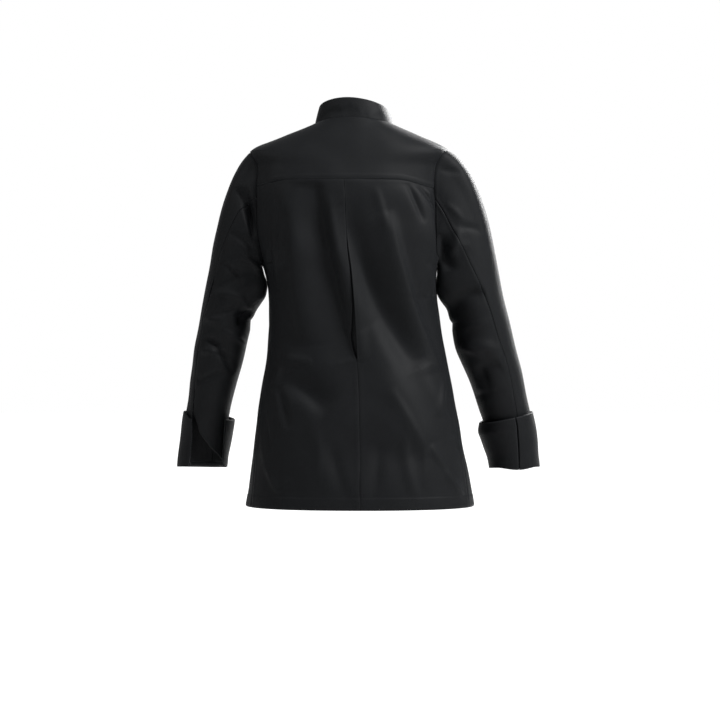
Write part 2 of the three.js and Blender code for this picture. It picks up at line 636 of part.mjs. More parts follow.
/** All that one sleeve is worked out from, for the left (side 1) or the right (side -1). */
function armOf(side, sections, head, folds) {
  const stations = sections.map((section) => ({ ...section, along: 0 }));
  for (let k = 1; k < stations.length; k += 1) {
    const before = stations[k - 1];
    const now = stations[k];
    now.along = before.along + Math.hypot(now.x - before.x, now.y - before.y, now.z - before.z);
  }
  const length = stations[stations.length - 1].along;
  const centre = (along) => new THREE.Vector3(
    tableValue(stations, 'along', 'x', along),
    tableValue(stations, 'along', 'y', along),
    tableValue(stations, 'along', 'z', along),
  );
  const wayAt = (along) => {
    const at = Math.min(Math.max(along, 1), length - 1);
    return centre(at + 1).sub(centre(at - 1)).normalize();
  };
  /** Place about the arm below the armpit, at a distance out of its surface. */
  const armPoint = (psi, along, out = 0) => {
    const at = Math.min(along, length);
    const tilt = tableValue(stations, 'along', 'tilt', at) * DEGREE;
    const outward = new THREE.Vector3(side * Math.cos(tilt), 0, Math.sin(tilt));
    const lean = lerp(ARM_LEAN, CUFF_LEAN, smoothstep(at, length / 2, length));
    const backward = new THREE.Vector3(0, 1, lean).normalize();
    const wide = tableValue(stations, 'along', 'outward', at) + out;
    const deep = tableValue(stations, 'along', 'backward', at) + out;
    const place = centre(at);
    if (along > length) place.addScaledVector(wayAt(length), along - length);
    return place
      .addScaledVector(outward, wide * Math.cos(psi))
      .addScaledVector(backward, deep * Math.sin(psi));
  };
  const torsoAngle = (psi) => {
    const half = Math.sin(psi) >= 0 ? ARMHOLE_BACK_ANGLE : -ARMHOLE_FRONT_ANGLE;
    const angle = half * DEGREE * armholeSpread(psi);
    return side > 0 ? angle : Math.PI - angle;
  };
  const armhole = (psi) => torsoSmooth(torsoAngle(psi), armholeLevel(psi));
  const armholeOutward = (psi) => torsoOutward(torsoAngle(psi), armholeLevel(psi));
  /** Direction across the armhole seam, from the body into the sleeve. */
  const acrossSeam = (psi) => armhole(psi + 0.06).sub(armhole(psi - 0.06))
    .cross(armholeOutward(psi)).normalize().multiplyScalar(side);
  const threeWay = (psi, top, middle, under) => {
    const cos = Math.cos(psi);
    return cos >= 0 ? lerp(middle, top, cos) : lerp(middle, under, -cos);
  };
  const headWay = (psi) => new THREE.Vector3(
    side * threeWay(psi, head.top_x, head.side_x, head.under_x),
    HEAD_SWAY * Math.sin(psi),
    threeWay(psi, head.top_z, head.side_z, head.under_z),
  );
  /** Place on the sleeve: part 0 is the armhole, 1 the armpit section and 2 the end. */
  const smooth = (psi, part) => {
    if (part >= 1) return armPoint(psi, (part - 1) * length);
    const way = headWay(psi);
    const start = armhole(psi).addScaledVector(acrossSeam(psi), ARMHOLE_GAP)
      .addScaledVector(armholeOutward(psi), UNDERARM_STEP * Math.max(-Math.cos(psi), 0) ** 2);
    const end = armPoint(psi, 0);
    const reach = threeWay(psi, HEAD_REACH_TOP, HEAD_REACH_SIDE, HEAD_REACH_UNDER);
    const arrive = armPoint(psi, 4).sub(armPoint(psi, 0)).normalize().multiplyScalar(reach);
    arrive.x += side * UNDERARM_TURN * Math.max(-Math.cos(psi), 0) ** 2;
    const p2 = part * part;
    const p3 = p2 * part;
    return start.multiplyScalar(2 * p3 - 3 * p2 + 1)
      .addScaledVector(way, p3 - 2 * p2 + part)
      .addScaledVector(end, 3 * p2 - 2 * p3)
      .addScaledVector(arrive, p3 - p2);
  };
  const outward = (psi, part) => {
    const at = Math.min(Math.max(part, 0.02), 1.98);
    const free = outwardOf(smooth, psi, at, 0.01, 0.01).multiplyScalar(-side);
    if (part >= 0.1) return free;
    return armholeOutward(psi).lerp(free, part / 0.1).normalize();
  };
  const point = (psi, part) => {
    const place = smooth(psi, part);
    const facing = smoothstep(Math.sin(psi), 0.05, 0.45) * smoothstep(part, 0.02, 0.15);
    return place.addScaledVector(outward(psi, part), foldHeight(folds, place.x, place.z) * facing);
  };
  return { side, length, armPoint, point, outward };
}

const leftArm = armOf(1, LEFT_ARM, LEFT_HEAD, LEFT_SLEEVE_FOLDS);
const rightArm = armOf(-1, RIGHT_ARM, RIGHT_HEAD, RIGHT_SLEEVE_FOLDS);

/** One panel of a sleeve between two seams, given by their angles along the sleeve. */
function addSleevePanel(name, arm, columns, firstSeam, lastSeam) {
  const rows = SLEEVE_HEAD_STEPS + SLEEVE_ARM_STEPS;
  const partAt = (v) => {
    const row = v * rows;
    if (row <= SLEEVE_HEAD_STEPS) return row / SLEEVE_HEAD_STEPS;
    return 1 + (row - SLEEVE_HEAD_STEPS) / SLEEVE_ARM_STEPS;
  };
  const trimAt = (psi, part) => {
    const stretch = arm.point(psi + 0.01, part).distanceTo(arm.point(psi - 0.01, part)) / 0.02;
    return SLEEVE_SEAM_GAP / 2 / stretch;
  };
  const psiAt = (u, part) => {
    const first = firstSeam(part) * DEGREE;
    const last = lastSeam(part) * DEGREE;
    return lerp(first + trimAt(first, part), last - trimAt(last, part), u);
  };
  addWall(
    name,
    [columns, rows],
    (u, v) => arm.point(psiAt(u, partAt(v)), partAt(v)),
    (u, v) => arm.outward(psiAt(u, partAt(v)), partAt(v)).negate(),
    CLOTH,
  );
}

/** Both panels of a sleeve. The upper one runs over the outer side and the front. */
function addSleeve(word, arm, seams) {
  const at = (column) => (part) => tableLine(seams, 'part', column, part);
  const inseam = at('inseam');
  const upperColumns = Math.round((360 - seams[0].inseam + seams[0].elbow) / ARMHOLE_STEP);
  const underColumns = Math.round((seams[0].inseam - seams[0].elbow) / ARMHOLE_STEP);
  addSleevePanel(`sleeve_${word}_upper`, arm, upperColumns, (part) => inseam(part) - 360, at('elbow'));
  addSleevePanel(`sleeve_${word}_under`, arm, underColumns, at('under'), inseam);
}

addSleeve('left', leftArm, LEFT_SEAMS);
addSleeve('right', rightArm, RIGHT_SEAMS);

/** A turned-back cuff: one strip of doubled cloth round the sleeve's end, open at the slit. */
function addCuff(name, arm, cuff) {
  const section = CUFF_FOLD.concat(cuff.rows);
  const rows = section.length - 1;
  const point = (u, v) => {
    const k = v * rows;
    const low = section[Math.min(Math.floor(k), rows - 1)];
    const high = section[Math.min(Math.floor(k), rows - 1) + 1];
    const t = k - Math.min(Math.floor(k), rows - 1);
    const first = tableLine(cuff.edges, 'step', 'first', v) * DEGREE;
    const last = tableLine(cuff.edges, 'step', 'last', v) * DEGREE - 2 * Math.PI;
    const psi = lerp(first, last, u);
    const outerSide = (1 + Math.cos(psi)) / 2;
    const out = lerp(
      lerp(low.out_inner, low.out_outer, outerSide),
      lerp(high.out_inner, high.out_outer, outerSide),
      t,
    );
    const fold = smoothstep(v, 0, 0.2) * (1 - smoothstep(v, 0.3, 0.9));
    const drop = cuff.corner_drop * smoothstep(v, 0.6, 1) * (1 - smoothstep(u, 0, 0.12))
      + cuff.slit_sag * fold * (1 - smoothstep(Math.min(u, 1 - u), 0, 0.16));
    const along = arm.length + lerp(low.along, high.along, t) + drop;
    return arm.armPoint(psi, along, out);
  };
  const step = 0.002;
  const normal = (u, v) => outwardOf(
    point,
    Math.min(Math.max(u, step), 1 - step),
    Math.min(Math.max(v, 0.02), 0.98),
    step,
    0.02,
  ).multiplyScalar(-arm.side);
  addWall(
    name,
    [CUFF_COLUMNS, rows],
    (u, v) => point(u, v).addScaledVector(normal(u, v), CUFF_CLOTH / 2),
    (u, v) => normal(u, v).negate(),
    CUFF_CLOTH,
  );
}

addCuff('cuff_left', leftArm, LEFT_CUFF);
addCuff('cuff_right', rightArm, RIGHT_CUFF);

// Buttons: a plain dished disc with a raised rim, in two rows on the lapping front
const buttonProfile = [
  [0, 0], [8.8, 0], [BUTTON_RADIUS, 1], [BUTTON_RADIUS, 2.6], [9.2, 3.4], [7.6, 3.4], [6.6, 2.4], [0, 2.4],
].map(([radius, height]) => new THREE.Vector2(radius, height));

/** One button on the lapping front, a distance past the centre front and at a level. */
function addButton(name, past, level) {
  const angle = frontAngle(past, level);
  const outward = torsoOutward(angle, level);
  const place = torsoPoint(angle, level, LAPEL_RISE + SEAM_GAP);
  const geometry = new THREE.LatheGeometry(buttonProfile, BUTTON_SIDES);
  const material = new THREE.MeshStandardMaterial({ color: BUTTON_BLACK, roughness: 0.35, metalness: 0 });
  const mesh = new THREE.Mesh(geometry, material);
  mesh.name = name;
  mesh.position.copy(place);
  mesh.quaternion.setFromUnitVectors(new THREE.Vector3(0, 1, 0), outward);
  jacket.add(mesh);
}

for (let row = 0; row < BUTTON_ROWS; row += 1) {
  const level = TOP_BUTTON_LEVEL - row * BUTTON_PITCH;
  addButton(`button_left_${row + 1}`, FRONT_LAP - BUTTON_INSET, level);
  addButton(`button_right_${row + 1}`, BUTTON_INSET - FRONT_LAP, level);
}

export default jacket;
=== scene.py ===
import math

import bpy
import numpy as np
from mathutils import Matrix, Vector


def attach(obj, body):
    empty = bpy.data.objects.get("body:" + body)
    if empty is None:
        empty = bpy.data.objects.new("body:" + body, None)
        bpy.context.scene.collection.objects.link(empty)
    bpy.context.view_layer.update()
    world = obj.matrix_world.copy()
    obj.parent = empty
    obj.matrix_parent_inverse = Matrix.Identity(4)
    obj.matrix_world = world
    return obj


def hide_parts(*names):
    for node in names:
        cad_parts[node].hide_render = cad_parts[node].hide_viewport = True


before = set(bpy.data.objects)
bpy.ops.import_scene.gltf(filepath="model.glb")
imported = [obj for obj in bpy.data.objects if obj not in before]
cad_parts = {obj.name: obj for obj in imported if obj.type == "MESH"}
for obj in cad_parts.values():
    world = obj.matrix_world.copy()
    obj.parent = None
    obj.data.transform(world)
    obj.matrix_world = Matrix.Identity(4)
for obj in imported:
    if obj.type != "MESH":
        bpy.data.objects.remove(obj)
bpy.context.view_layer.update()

# Camera
# It stands level behind the jacket, at the middle of its height, 3.5 m away.
def new_object(name, data):
    made = bpy.data.objects.new(name, data)
    bpy.context.collection.objects.link(made)
    return made


camera = new_object("camera", bpy.data.cameras.new("camera"))
camera.data.lens = 97.2
camera.location = (-0.009, 3.5, -0.4194)
camera.rotation_euler = (math.radians(90), 0, math.radians(180))
bpy.context.scene.camera = camera

# Studio
# A white room with a pale floor well below the hem. The key light stands high at the camera's
# right, a weak one at its left, a broad one before the jacket's front and one over the collar.
FLOOR_LEVEL = -1.35
world = bpy.data.worlds.new("studio")
world.use_nodes = True
world.node_tree.nodes["Background"].inputs["Color"].default_value = (1, 1, 1, 1)
world.node_tree.nodes["Background"].inputs["Strength"].default_value = 1.0
bpy.context.scene.world = world
bpy.context.scene.view_settings.view_transform = "Standard"


def soft_light(name, place, aim, width, power):
    """A square area light that looks at a point of the jacket."""
    data = bpy.data.lights.new(name, "AREA")
    data.size = width
    data.energy = power
    light = new_object(name, data)
    light.location = place
    light.rotation_euler = (Vector(aim) - Vector(place)).to_track_quat("-Z", "Y").to_euler()


def new_material(name, inputs):
    """A material, with the plain values of its shader's inputs."""
    material = bpy.data.materials.new(name)
    material.use_nodes = True
    for title, value in inputs.items():
        material.node_tree.nodes["Principled BSDF"].inputs[title].default_value = value
    return material


soft_light("key_light", (-1.8, 1.2, 1.5), (0, 0, -0.3), 0.7, 690)
soft_light("fill_light", (2.4, 1.0, 1.4), (0, 0, -0.35), 0.6, 105)
soft_light("front_light", (-2.2, -3.0, 1.4), (0, 0, -0.35), 1.4, 860)
soft_light("top_light", (-0.1, 1.0, 2.0), (0, 0, -0.1), 0.8, 70)

bpy.ops.mesh.primitive_plane_add(size=60, location=(0, 0, FLOOR_LEVEL))
floor = bpy.context.object
floor.name = "floor"
floor.data.transform(floor.matrix_world)
floor.matrix_world.identity()
floor.data.materials.append(new_material("pale_floor", {
    "Base Color": (0.9, 0.9, 0.9, 1), "Roughness": 0.9,
    "Emission Color": (1, 1, 1, 1), "Emission Strength": 0.35,
}))

# Back yoke
# One piece of twill across the shoulders, between the collar seam, the shoulder seams, the
# armholes and the yoke seam, where it laps over the back and is stitched down.
MM = 0.001
SEAM_GAP, CLOTH = 0.3, 1.5
# Steps from a sewn edge and from the neck seam, over which the cloth rolls under
EDGE_STEPS = np.array([0, 0.7, 1.5, 2.8, 4.6, 6.4, 8.4])
NECK_STEPS, NECK_BAND = np.array([0, 0.3, 0.7, 1.3, 2.1, 3.1]), 4.3
# Spacing of the columns, where the evenly spaced ones begin, and how far an edge's cut reaches
COLUMN_SPACING, EDGE_BAND, CUT_REACH = 3.4, 11, 120
# Distance from an edge at which there is neither stitching nor painted highlight
UNSTITCHED = 60.0
NECK_LEVEL, SHOULDER_TIP_LEVEL, YOKE_LEVEL = 0, -45, -103
UNDERARM_LEVEL, HEM_LEVEL = -248, -680
RING_COLUMNS = (
    "level", "axis", "left", "right", "side", "back", "front", "back_lift", "front_lift", "yaw",
)
TORSO_RINGS = np.array([
    (0, 1, 71, 71, -2, 62, -66, 10, -68, 10),
    (-20, 9, 124, 125, 0, 80, -84, -5, -65, 7),
    (-45, 15, 172, 181, 2, 93, -97, -13, -60, 4),
    (-72, 16, 167, 174, 2, 101, -109, -8, -49, 2),
    (-103, 17, 170, 172, 2, 108, -118, 0, -37, 1),
    (-146, 16.4, 172, 172, 0, 112, -128, 0, -20, 0),
    (-190, 15.2, 169, 170, 0, 112, -135, 0, -8, 0),
    (-225, 12, 163, 163, 0, 111, -139, 0, -2, 0),
    (-260, 7, 154, 152, 0, 108, -138, 0, 0, 0),
    (-310, 2.3, 151, 148.5, 0, 103, -130, 0, 0, 0),
    (-370, -2, 155.5, 152, 1, 99, -119, 0, 0, 0),
    (-427, -4.8, 163.3, 160.3, 3, 104, -118, 0, 0, 0),
    (-484, -7, 176, 169.5, 4, 115, -122, 0, 0, 0),
    (-556, -8, 186, 181, 4, 128, -129, 0, 0, 0),
    (-599, -8.5, 191.4, 189, 3, 133, -133, 0, 0, 0),
    (-643, -9, 197.6, 197.5, 2, 136, -138, 0, 0, 0),
    (-690, -9, 205, 205, 2, 138, -140, 0, 0, 0),
])
# Side seams: level, and degrees behind the side line
SIDE_SEAMS = np.array([(-248, 0), (-300, 4), (-400, 7), (-500, 10), (-690, 17)])
SHOULDER_SEAM_ANGLE = 5
ARMHOLE_BACK_ANGLE, ARMHOLE_FRONT_ANGLE, ARMHOLE_FULLNESS = 19, 21, 0.38
ARMHOLE_KNEE = math.radians(7.5)
ARMHOLE_MIDDLE = (SHOULDER_TIP_LEVEL + UNDERARM_LEVEL) / 2
ARMHOLE_HALF = (SHOULDER_TIP_LEVEL - UNDERARM_LEVEL) / 2
KNEE_SHARE = math.cos(ARMHOLE_KNEE)
TORSO_SQUARENESS = 2.3
# Folds, seen square on: x1, z1, x2, z2, bow, half width on the way down's left and right, and
# height, negative for a trough
BACK_FOLDS = np.array([
    (76, -88, 4, -420, -3, 44, 12, -14.6),
    (118, -108, 84, -392, -6, 18, 26, 10.4),
    (18, -140, -112, -436, -20, 22, 26, -14.6),
    (-58, -160, -146, -440, -12, 22, 10, 11.6),
    (-128, -110, -140, -306, 0, 44, 10, 14.6),
    (-22, -362, -132, -566, -3, 42, 26, 5.6),
    (125, -452, 44, -509, 2, 15, 28, -11),
    (60, -590, -120, -590, 12, 40, 40, -8.5),
    (-110, -420, -172, -560, 4, 16, 16, 4.9),
    # The sharper creases that lie in and between the broad ones
    (139, -140, 142, -300, 2, 7, 4, 3),
    (124, -150, 120, -262, 3, 5, 8, -3),
    (152, -225, 140, -300, 0, 5, 7, -4),
    (46, -130, 26, -262, -2, 5, 7, 2.4),
    (-36, -118, -56, -196, 2, 9, 5, 2.4),
    (-91, -108, -115, -178, 1, 5, 5, -4.5),
    (-108, -108, -141, -163, 2, 5, 5, -6),
    (-122, -250, -134, -318, 0, 6, 4, 4),
    (-136, -240, -146, -290, 0, 5, 5, -3),
    (-60, -470, -128, -588, 2, 12, 7, 3),
    (128, -432, 146, -476, 0, 7, 5, 3.4),
    (122, -420, 74, -424, 2, 8, 8, 3),
    (137, -463, 118, -540, 2, 5, 8, -4),
    (160, -507, 151, -580, 0, 5, 5, -3.4),
    (164, -534, 158, -604, 0, 5, 5, 2.4),
    (158, -602, 134, -651, 0, 5, 5, 2.4),
    (136, -651, 108, -628, 0, 5, 5, 2),
    (-157, -454, -145, -519, 0, 5, 5, 3),
    (-131, -566, -157, -611, 0, 6, 6, 3),
    (-155, -608, -190, -660, 0, 6, 6, 3.4),
    (96, -486, 43, -663, 6, 14, 12, 1.4),
    (43, -559, 8, -672, -4, 12, 10, -2.4),
    (-40, -559, -30, -672, 4, 12, 10, -2.4),
    (-87, -541, -110, -672, -5, 11, 9, 3),
])
FRONT_LAP = 80
FRONT_FOLDS = np.array([
    (110, -300, 40, -180, -8, 18, 18, -6.9),
    (130, -330, 60, -250, -6, 14, 14, 5.8),
    (-100, -310, -46, -190, 8, 18, 18, -6.9),
    (130, -420, 40, -450, 8, 22, 22, -6.9),
    (-130, -400, -50, -440, -8, 20, 20, -6.9),
    (120, -500, 150, -660, 6, 22, 22, 8),
    (-110, -500, -150, -660, -6, 24, 24, 8),
    (138, -120, 128, -210, 4, 8, 8, -3.4),
    (-130, -120, -122, -215, -4, 8, 8, -3.4),
    (120, -330, 100, -400, 3, 7, 7, 2.8),
    (-118, -330, -128, -420, 3, 7, 7, 2.8),
    (128, -470, 150, -560, 2, 7, 7, -3),
    (-126, -450, -150, -560, 2, 7, 7, -3),
])


def smooth_step(value, low, high):
    """0 below the low end, 1 above the high one and smooth in between."""
    t = np.clip((value - low) / (high - low), 0, 1)
    return t * t * (3 - 2 * t)


def curve(t, start, way, end, arrive):
    """Places on the curve that leaves its start one way and arrives at its end another."""
    return (
        start * (2 * t**3 - 3 * t**2 + 1)
        + way * (t**3 - 2 * t**2 + t)
        + end * (3 * t**2 - 2 * t**3)
        + arrive * (t**3 - t**2)
    )


def read_smooth(table, column, at):
    """A table's column read at any places, smooth through its rows."""
    x, y = table[table[:, 0].argsort()][:, [0, column]].T
    ends = np.arange(len(x))
    before, after = np.maximum(ends - 1, 0), np.minimum(ends + 1, len(x) - 1)
    slope = (y[after] - y[before]) / (x[after] - x[before])
    k = np.clip(np.searchsorted(x, at, side="right") - 1, 0, len(x) - 2)
    span = x[k + 1] - x[k]
    t = np.clip((at - x[k]) / span, 0, 1)
    return curve(t, y[k], span * slope[k], y[k + 1], span * slope[k + 1])


def read_straight(table, column, at):
    """A table's column read at any places, straight between its rows."""
    return np.interp(at, *table[table[:, 0].argsort()][:, [0, column]].T)


def read_rows(x, y, at):
    """Each row of y over its row of x, read straight at its row of places."""
    return np.array([np.interp(*row) for row in zip(at, x, y)])


def fold_height(folds, x, z):
    """The height of all folds of a table at places seen square on."""
    height = np.zeros_like(x)
    for x1, z1, x2, z2, bow, left, right, tall in folds:
        dx, dz = x2 - x1, z2 - z1
        length = math.hypot(dx, dz)
        along = ((x - x1) * dx + (z - z1) * dz) / length**2
        inside = np.clip(along, 0, 1)
        across = ((x - x1) * dz - (z - z1) * dx) / length - bow * 4 * inside * (1 - inside)
        fade = np.sin(math.pi * inside) ** 0.6
        width = np.where(across > 0, right, left)
        height += tall * fade * np.exp(-(across / width) ** 2)
    return height


def torso_smooth(angle, level):
    """Places on the jacket's body, at angles about its axis and levels."""
    angle, level = np.broadcast_arrays(angle, level)
    ring = {name: read_smooth(TORSO_RINGS, i, level) for i, name in enumerate(RING_COLUMNS) if i}
    cos, sin = np.cos(angle), np.sin(angle)
    wide = np.where(cos >= 0, ring["left"], ring["right"])
    deep = np.where(sin >= 0, ring["back"] - ring["side"], ring["side"] - ring["front"])
    power = TORSO_SQUARENESS
    radius = (np.abs(cos / wide) ** power + np.abs(sin / deep) ** power) ** (-1 / power)
    x, y = radius * cos, ring["side"] + radius * sin
    yaw = np.radians(ring["yaw"])
    lift = ring["back_lift"] * np.maximum(sin, 0) ** 1.5
    lift = lift + ring["front_lift"] * np.maximum(-sin, 0) ** 1.5
    return np.stack([
        ring["axis"] + x * np.cos(yaw) + y * np.sin(yaw),
        y * np.cos(yaw) - x * np.sin(yaw),
        level + lift,
    ], axis=-1)


def unit(ways):
    return ways / np.linalg.norm(ways, axis=-1, keepdims=True)


def outward_of(surface, a, b, step_a=0.01, step_b=0.5):
    """Unit directions out of a surface given by two coordinates."""
    along_a = surface(a + step_a, b) - surface(a - step_a, b)
    along_b = surface(a, b + step_b) - surface(a, b - step_b)
    return unit(np.cross(along_a, along_b))


def armhole_spread(level):
    """How far the armhole stands open at a level, from 0 at its ends to about 1."""
    inside = np.abs(np.clip((level - ARMHOLE_MIDDLE) / ARMHOLE_HALF, -1, 1))
    ramp = math.sin(ARMHOLE_KNEE) ** ARMHOLE_FULLNESS * (1 - inside) / (1 - KNEE_SHARE)
    return np.where(inside > KNEE_SHARE, ramp, np.sqrt(1 - inside**2) ** ARMHOLE_FULLNESS)


def at_armhole(level):
    return (level < SHOULDER_TIP_LEVEL) & (level > UNDERARM_LEVEL)


def back_edge(level):
    """Angle behind the side line at which the back pieces end on one side."""
    shoulder = SHOULDER_SEAM_ANGLE * smooth_step(level, SHOULDER_TIP_LEVEL, NECK_LEVEL)
    side = read_straight(SIDE_SEAMS, 1, level)
    degrees = np.where(
        level >= SHOULDER_TIP_LEVEL,
        shoulder,
        np.where(level > UNDERARM_LEVEL, ARMHOLE_BACK_ANGLE * armhole_spread(level), side),
    )
    return np.radians(degrees)


def armhole_levels(top, bottom):
    """Levels down the armhole, close together where it turns at its ends."""
    turn = (1 + KNEE_SHARE) / 2
    share = np.r_[1, turn, np.cos(np.radians(np.arange(10, 171, 2.5))), -turn, -1]
    levels = ARMHOLE_MIDDLE + ARMHOLE_HALF * share
    return levels[(levels < top) & (levels > bottom)]


def add_up(steps):
    """Lengths down the columns of a grid, from its steps from row to row."""
    lengths = np.linalg.norm(steps, axis=-1)
    return np.concatenate([np.zeros((1, lengths.shape[1])), np.cumsum(lengths, axis=0)])


def measure_down(places):
    return add_up(np.diff(places, axis=0))


def measure_across(places):
    return measure_down(places.transpose(1, 0, 2)).T


def spread_columns(line, first_cut=0.0, last_cut=0.0):
    """Lengths across a piece from one edge of its rows, closer together near both edges.
    A cut is how far inside a row's end the piece starts, and only the columns by it move."""
    length = measure_across(line)
    width = length[:, -1:]
    count = max(3, round((width.max() - 2 * EDGE_BAND) / COLUMN_SPACING))
    middle = EDGE_BAND + (width - 2 * EDGE_BAND) * np.linspace(0, 1, count)
    near = np.tile(SEAM_GAP / 2 + EDGE_STEPS, (len(line), 1))
    at = np.concatenate([near, middle, width - near[:, ::-1]], axis=1)
    moved = first_cut * (1 - smooth_step(at, 0, CUT_REACH))
    return at + moved - last_cut * (1 - smooth_step(width - at, 0, CUT_REACH)), length, width


def seam_relief(distance):
    """Height of cloth by its distance from a seam: rolled under, over a doubled allowance."""
    return 0.45 * (1 - smooth_step(distance, 7.2, 9.5)) - 1.1 * np.exp(-(distance / 1.2) ** 2)


def hem_relief(distance):
    """Height of cloth by its distance from the hem: doubled up to its stitching."""
    return 0.5 * (1 - smooth_step(distance, 19.5, 21.5)) - np.exp(-(distance / 1.2) ** 2)


def slack(places, seed):
    """The gentle unevenness of cloth that hangs, from a few crossed waves."""
    draw = np.random.default_rng(seed)
    height = np.zeros(places.shape[:-1])
    for wave in draw.uniform(-1, 1, (7, 3)):
        wave = unit(wave) * draw.uniform(0.05, 0.13)
        height += np.sin(places @ wave + draw.uniform(0, 6.28))
    return 0.16 * height


class Wire:
    """A socket of a material's node, on which Python's operators add Math nodes."""

    def __init__(self, tree, socket=None):
        self.tree, self.socket = tree, socket

    def node(self, kind, settings=None, sockets=None, output=0):
        """A new node of a kind, with its settings and then the values or links of its sockets."""
        made = self.tree.nodes.new(kind)
        for name, value in (settings or {}).items():
            setattr(made, name, value)
        for name, value in (sockets or {}).items():
            if isinstance(value, Wire):
                self.tree.links.new(value.socket, made.inputs[name])
            else:
                made.inputs[name].default_value = value
        return Wire(self.tree, made.outputs[output])

    def maths(self, operation, *values):
        return self.node("ShaderNodeMath", {"operation": operation}, dict(enumerate(values)))

    def __add__(self, other):
        return self.maths("ADD", self, other)

    __radd__ = __add__

    def __mul__(self, other):
        return self.maths("MULTIPLY", self, other)

    def __sub__(self, other):
        return self.maths("SUBTRACT", self, other)

    def __rsub__(self, other):
        return self.maths("SUBTRACT", other, self)


def wire_up(material, wires):
    """Links a material's shader to its wires."""
    shader = material.node_tree.nodes["Principled BSDF"]
    for title, wire in wires.items():
        material.node_tree.links.new(wire.socket, shader.inputs[title])


STITCH_LENGTH, STITCH_INSET, STITCH_WIDTH = 0.0032, 2.0, 0.55
# Pitches of the twill's ribs and yarns, and width of the painted highlight along sewn edges
RIB_PITCH, YARN_PITCH, EDGE_HIGHLIGHT_WIDTH = 0.0011, 0.0006, 1.6


def twill_material(name, base, thread):
    """Black cotton twill with its fine diagonal ribs, stitching beside the sewn edges and a painted
    highlight just along them.
    """
    material = new_material(name, {
        "Specular IOR Level": 0.018, "Sheen Weight": 0.002, "Sheen Roughness": 0.45,
        "Sheen Tint": (0.9, 0.92, 1.0, 1),
    })
    start = Wire(material.node_tree)
    uv = start.node("ShaderNodeUVMap", {"uv_map": "cloth"})
    place = start.node("ShaderNodeTexCoord", output="Object")
    across, down = (start.node("ShaderNodeSeparateXYZ", None, {0: uv}, way) for way in "XY")
    side, end = (
        start.node("ShaderNodeAttribute", {"attribute_name": edge}, None, "Fac")
        for edge in ("side", "end")
    )

    def stitch_row(distance, run):
        """A row of stitches beside an edge, and the line that they lie along."""
        beside = start.maths("ABSOLUTE", distance - STITCH_INSET)
        row = start.maths("MAXIMUM", 1 - beside * (1 / STITCH_WIDTH), 0.0)
        wave = start.maths("SINE", run * (2 * math.pi / STITCH_LENGTH))
        dash = start.maths("MAXIMUM", start.maths("MULTIPLY_ADD", wave, 2.4, 1.3), 0.0)
        return row * start.maths("MINIMUM", dash, 1.0), row

    side_stitch, side_row = stitch_row(side, down)
    end_stitch, end_row = stitch_row(end, across)
    stitches = start.maths("MAXIMUM", side_stitch, end_stitch)
    rows = start.maths("MAXIMUM", side_row, end_row)
    ribs = start.maths("SINE", (across + down) * (2 * math.pi / RIB_PITCH))
    yarns = start.maths("SINE", (across - down * 0.6) * (2 * math.pi / YARN_PITCH))
    weave = ribs * 0.5 + yarns * 0.22
    mottle, fuzz = (
        start.node("ShaderNodeTexNoise", None, {
            "Vector": place, "Scale": scale, "Detail": detail, "Roughness": roughness,
        })
        for scale, detail, roughness in ((38.0, 4.0, 0.6), (900.0, 2.0, 0.5))
    )
    # Painted highlight: the tone is lighter within a millimetre or two of a sewn edge, standing in for
    # light caught by the rolled seam edge
    edge_highlight = start.maths("MAXIMUM", 1 - start.maths("MINIMUM", side, end) * (1 / EDGE_HIGHLIGHT_WIDTH), 0.0)
    tone = 0.78 + mottle * 0.3 + weave * 0.1 + fuzz * 0.14 + edge_highlight * 0.35
    cloth_colour = start.node(
        "ShaderNodeVectorMath", {"operation": "SCALE"}, {0: base, "Scale": tone}
    )
    colour = start.node(
        "ShaderNodeMix", {"data_type": "RGBA"}, {0: stitches, 6: cloth_colour, 7: (*thread, 1)}, 2
    )
    height = weave * 0.05 + fuzz * 0.03 + mottle * 0.05 + stitches * 0.22 - rows * 0.16
    bump = start.node(
        "ShaderNodeBump", None, {"Strength": 0.8, "Distance": MM, "Height": height}, "Normal"
    )
    rough = 0.56 + fuzz * 0.08 - stitches * 0.1
    wire_up(material, {"Base Color": colour, "Roughness": rough, "Normal": bump})
    return material


twill = twill_material("black_twill", (0.00105, 0.00115, 0.0013), (0.0026, 0.0028, 0.003))


def sheet_of_cloth(
    name, node, places, outward, height, edges=(UNSTITCHED, UNSTITCHED), wall=CLOTH, turned=False,
    *, rests_on,
):
    """A sheet over a grid of places in millimetres, its wall to the inside. Node is the solid
    that it stands for, and edges are the distances from its stitched side and end."""
    places = places + outward * height[..., None]
    rows, columns = places.shape[:2]
    corner = (np.arange(rows - 1)[:, None] * columns + np.arange(columns - 1)).ravel()
    faces = np.stack([corner, corner + 1, corner + columns + 1, corner + columns], axis=1)
    if turned:
        faces = faces[:, ::-1]
    mesh = bpy.data.meshes.new(name)
    mesh.from_pydata((places.reshape(-1, 3) * MM).tolist(), [], faces.tolist())
    for title, distance in zip(("side", "end"), edges):
        values = np.broadcast_to(np.clip(distance, 0, UNSTITCHED), (rows, columns))
        layer = mesh.attributes.new(title, "FLOAT", "POINT")
        layer.data.foreach_set("value", values.astype(np.float32).ravel())
    # The weave runs from the middle column, and square to the rows
    across = measure_across(places)
    across -= across[:, columns // 2, None]
    way, step = unit(np.gradient(places, axis=1))[:-1], np.diff(places, axis=0)
    down = add_up(step - np.sum(step * way, axis=-1, keepdims=True) * way)
    corners = np.stack([across.ravel(), down.ravel()], axis=1)[faces.ravel()] * MM
    mesh.uv_layers.new(name="cloth").data.foreach_set("uv", corners.astype(np.float32).ravel())
    mesh.shade_smooth()
    mesh.materials.append(twill)
    sheet = new_object(name, mesh)
    bpy.context.view_layer.objects.active = sheet
    thick = sheet.modifiers.new("wall", "SOLIDIFY")
    thick.thickness = wall * MM
    thick.offset = -1
    bpy.ops.object.modifier_apply(modifier="wall")
    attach(sheet, "root")
    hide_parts(node)


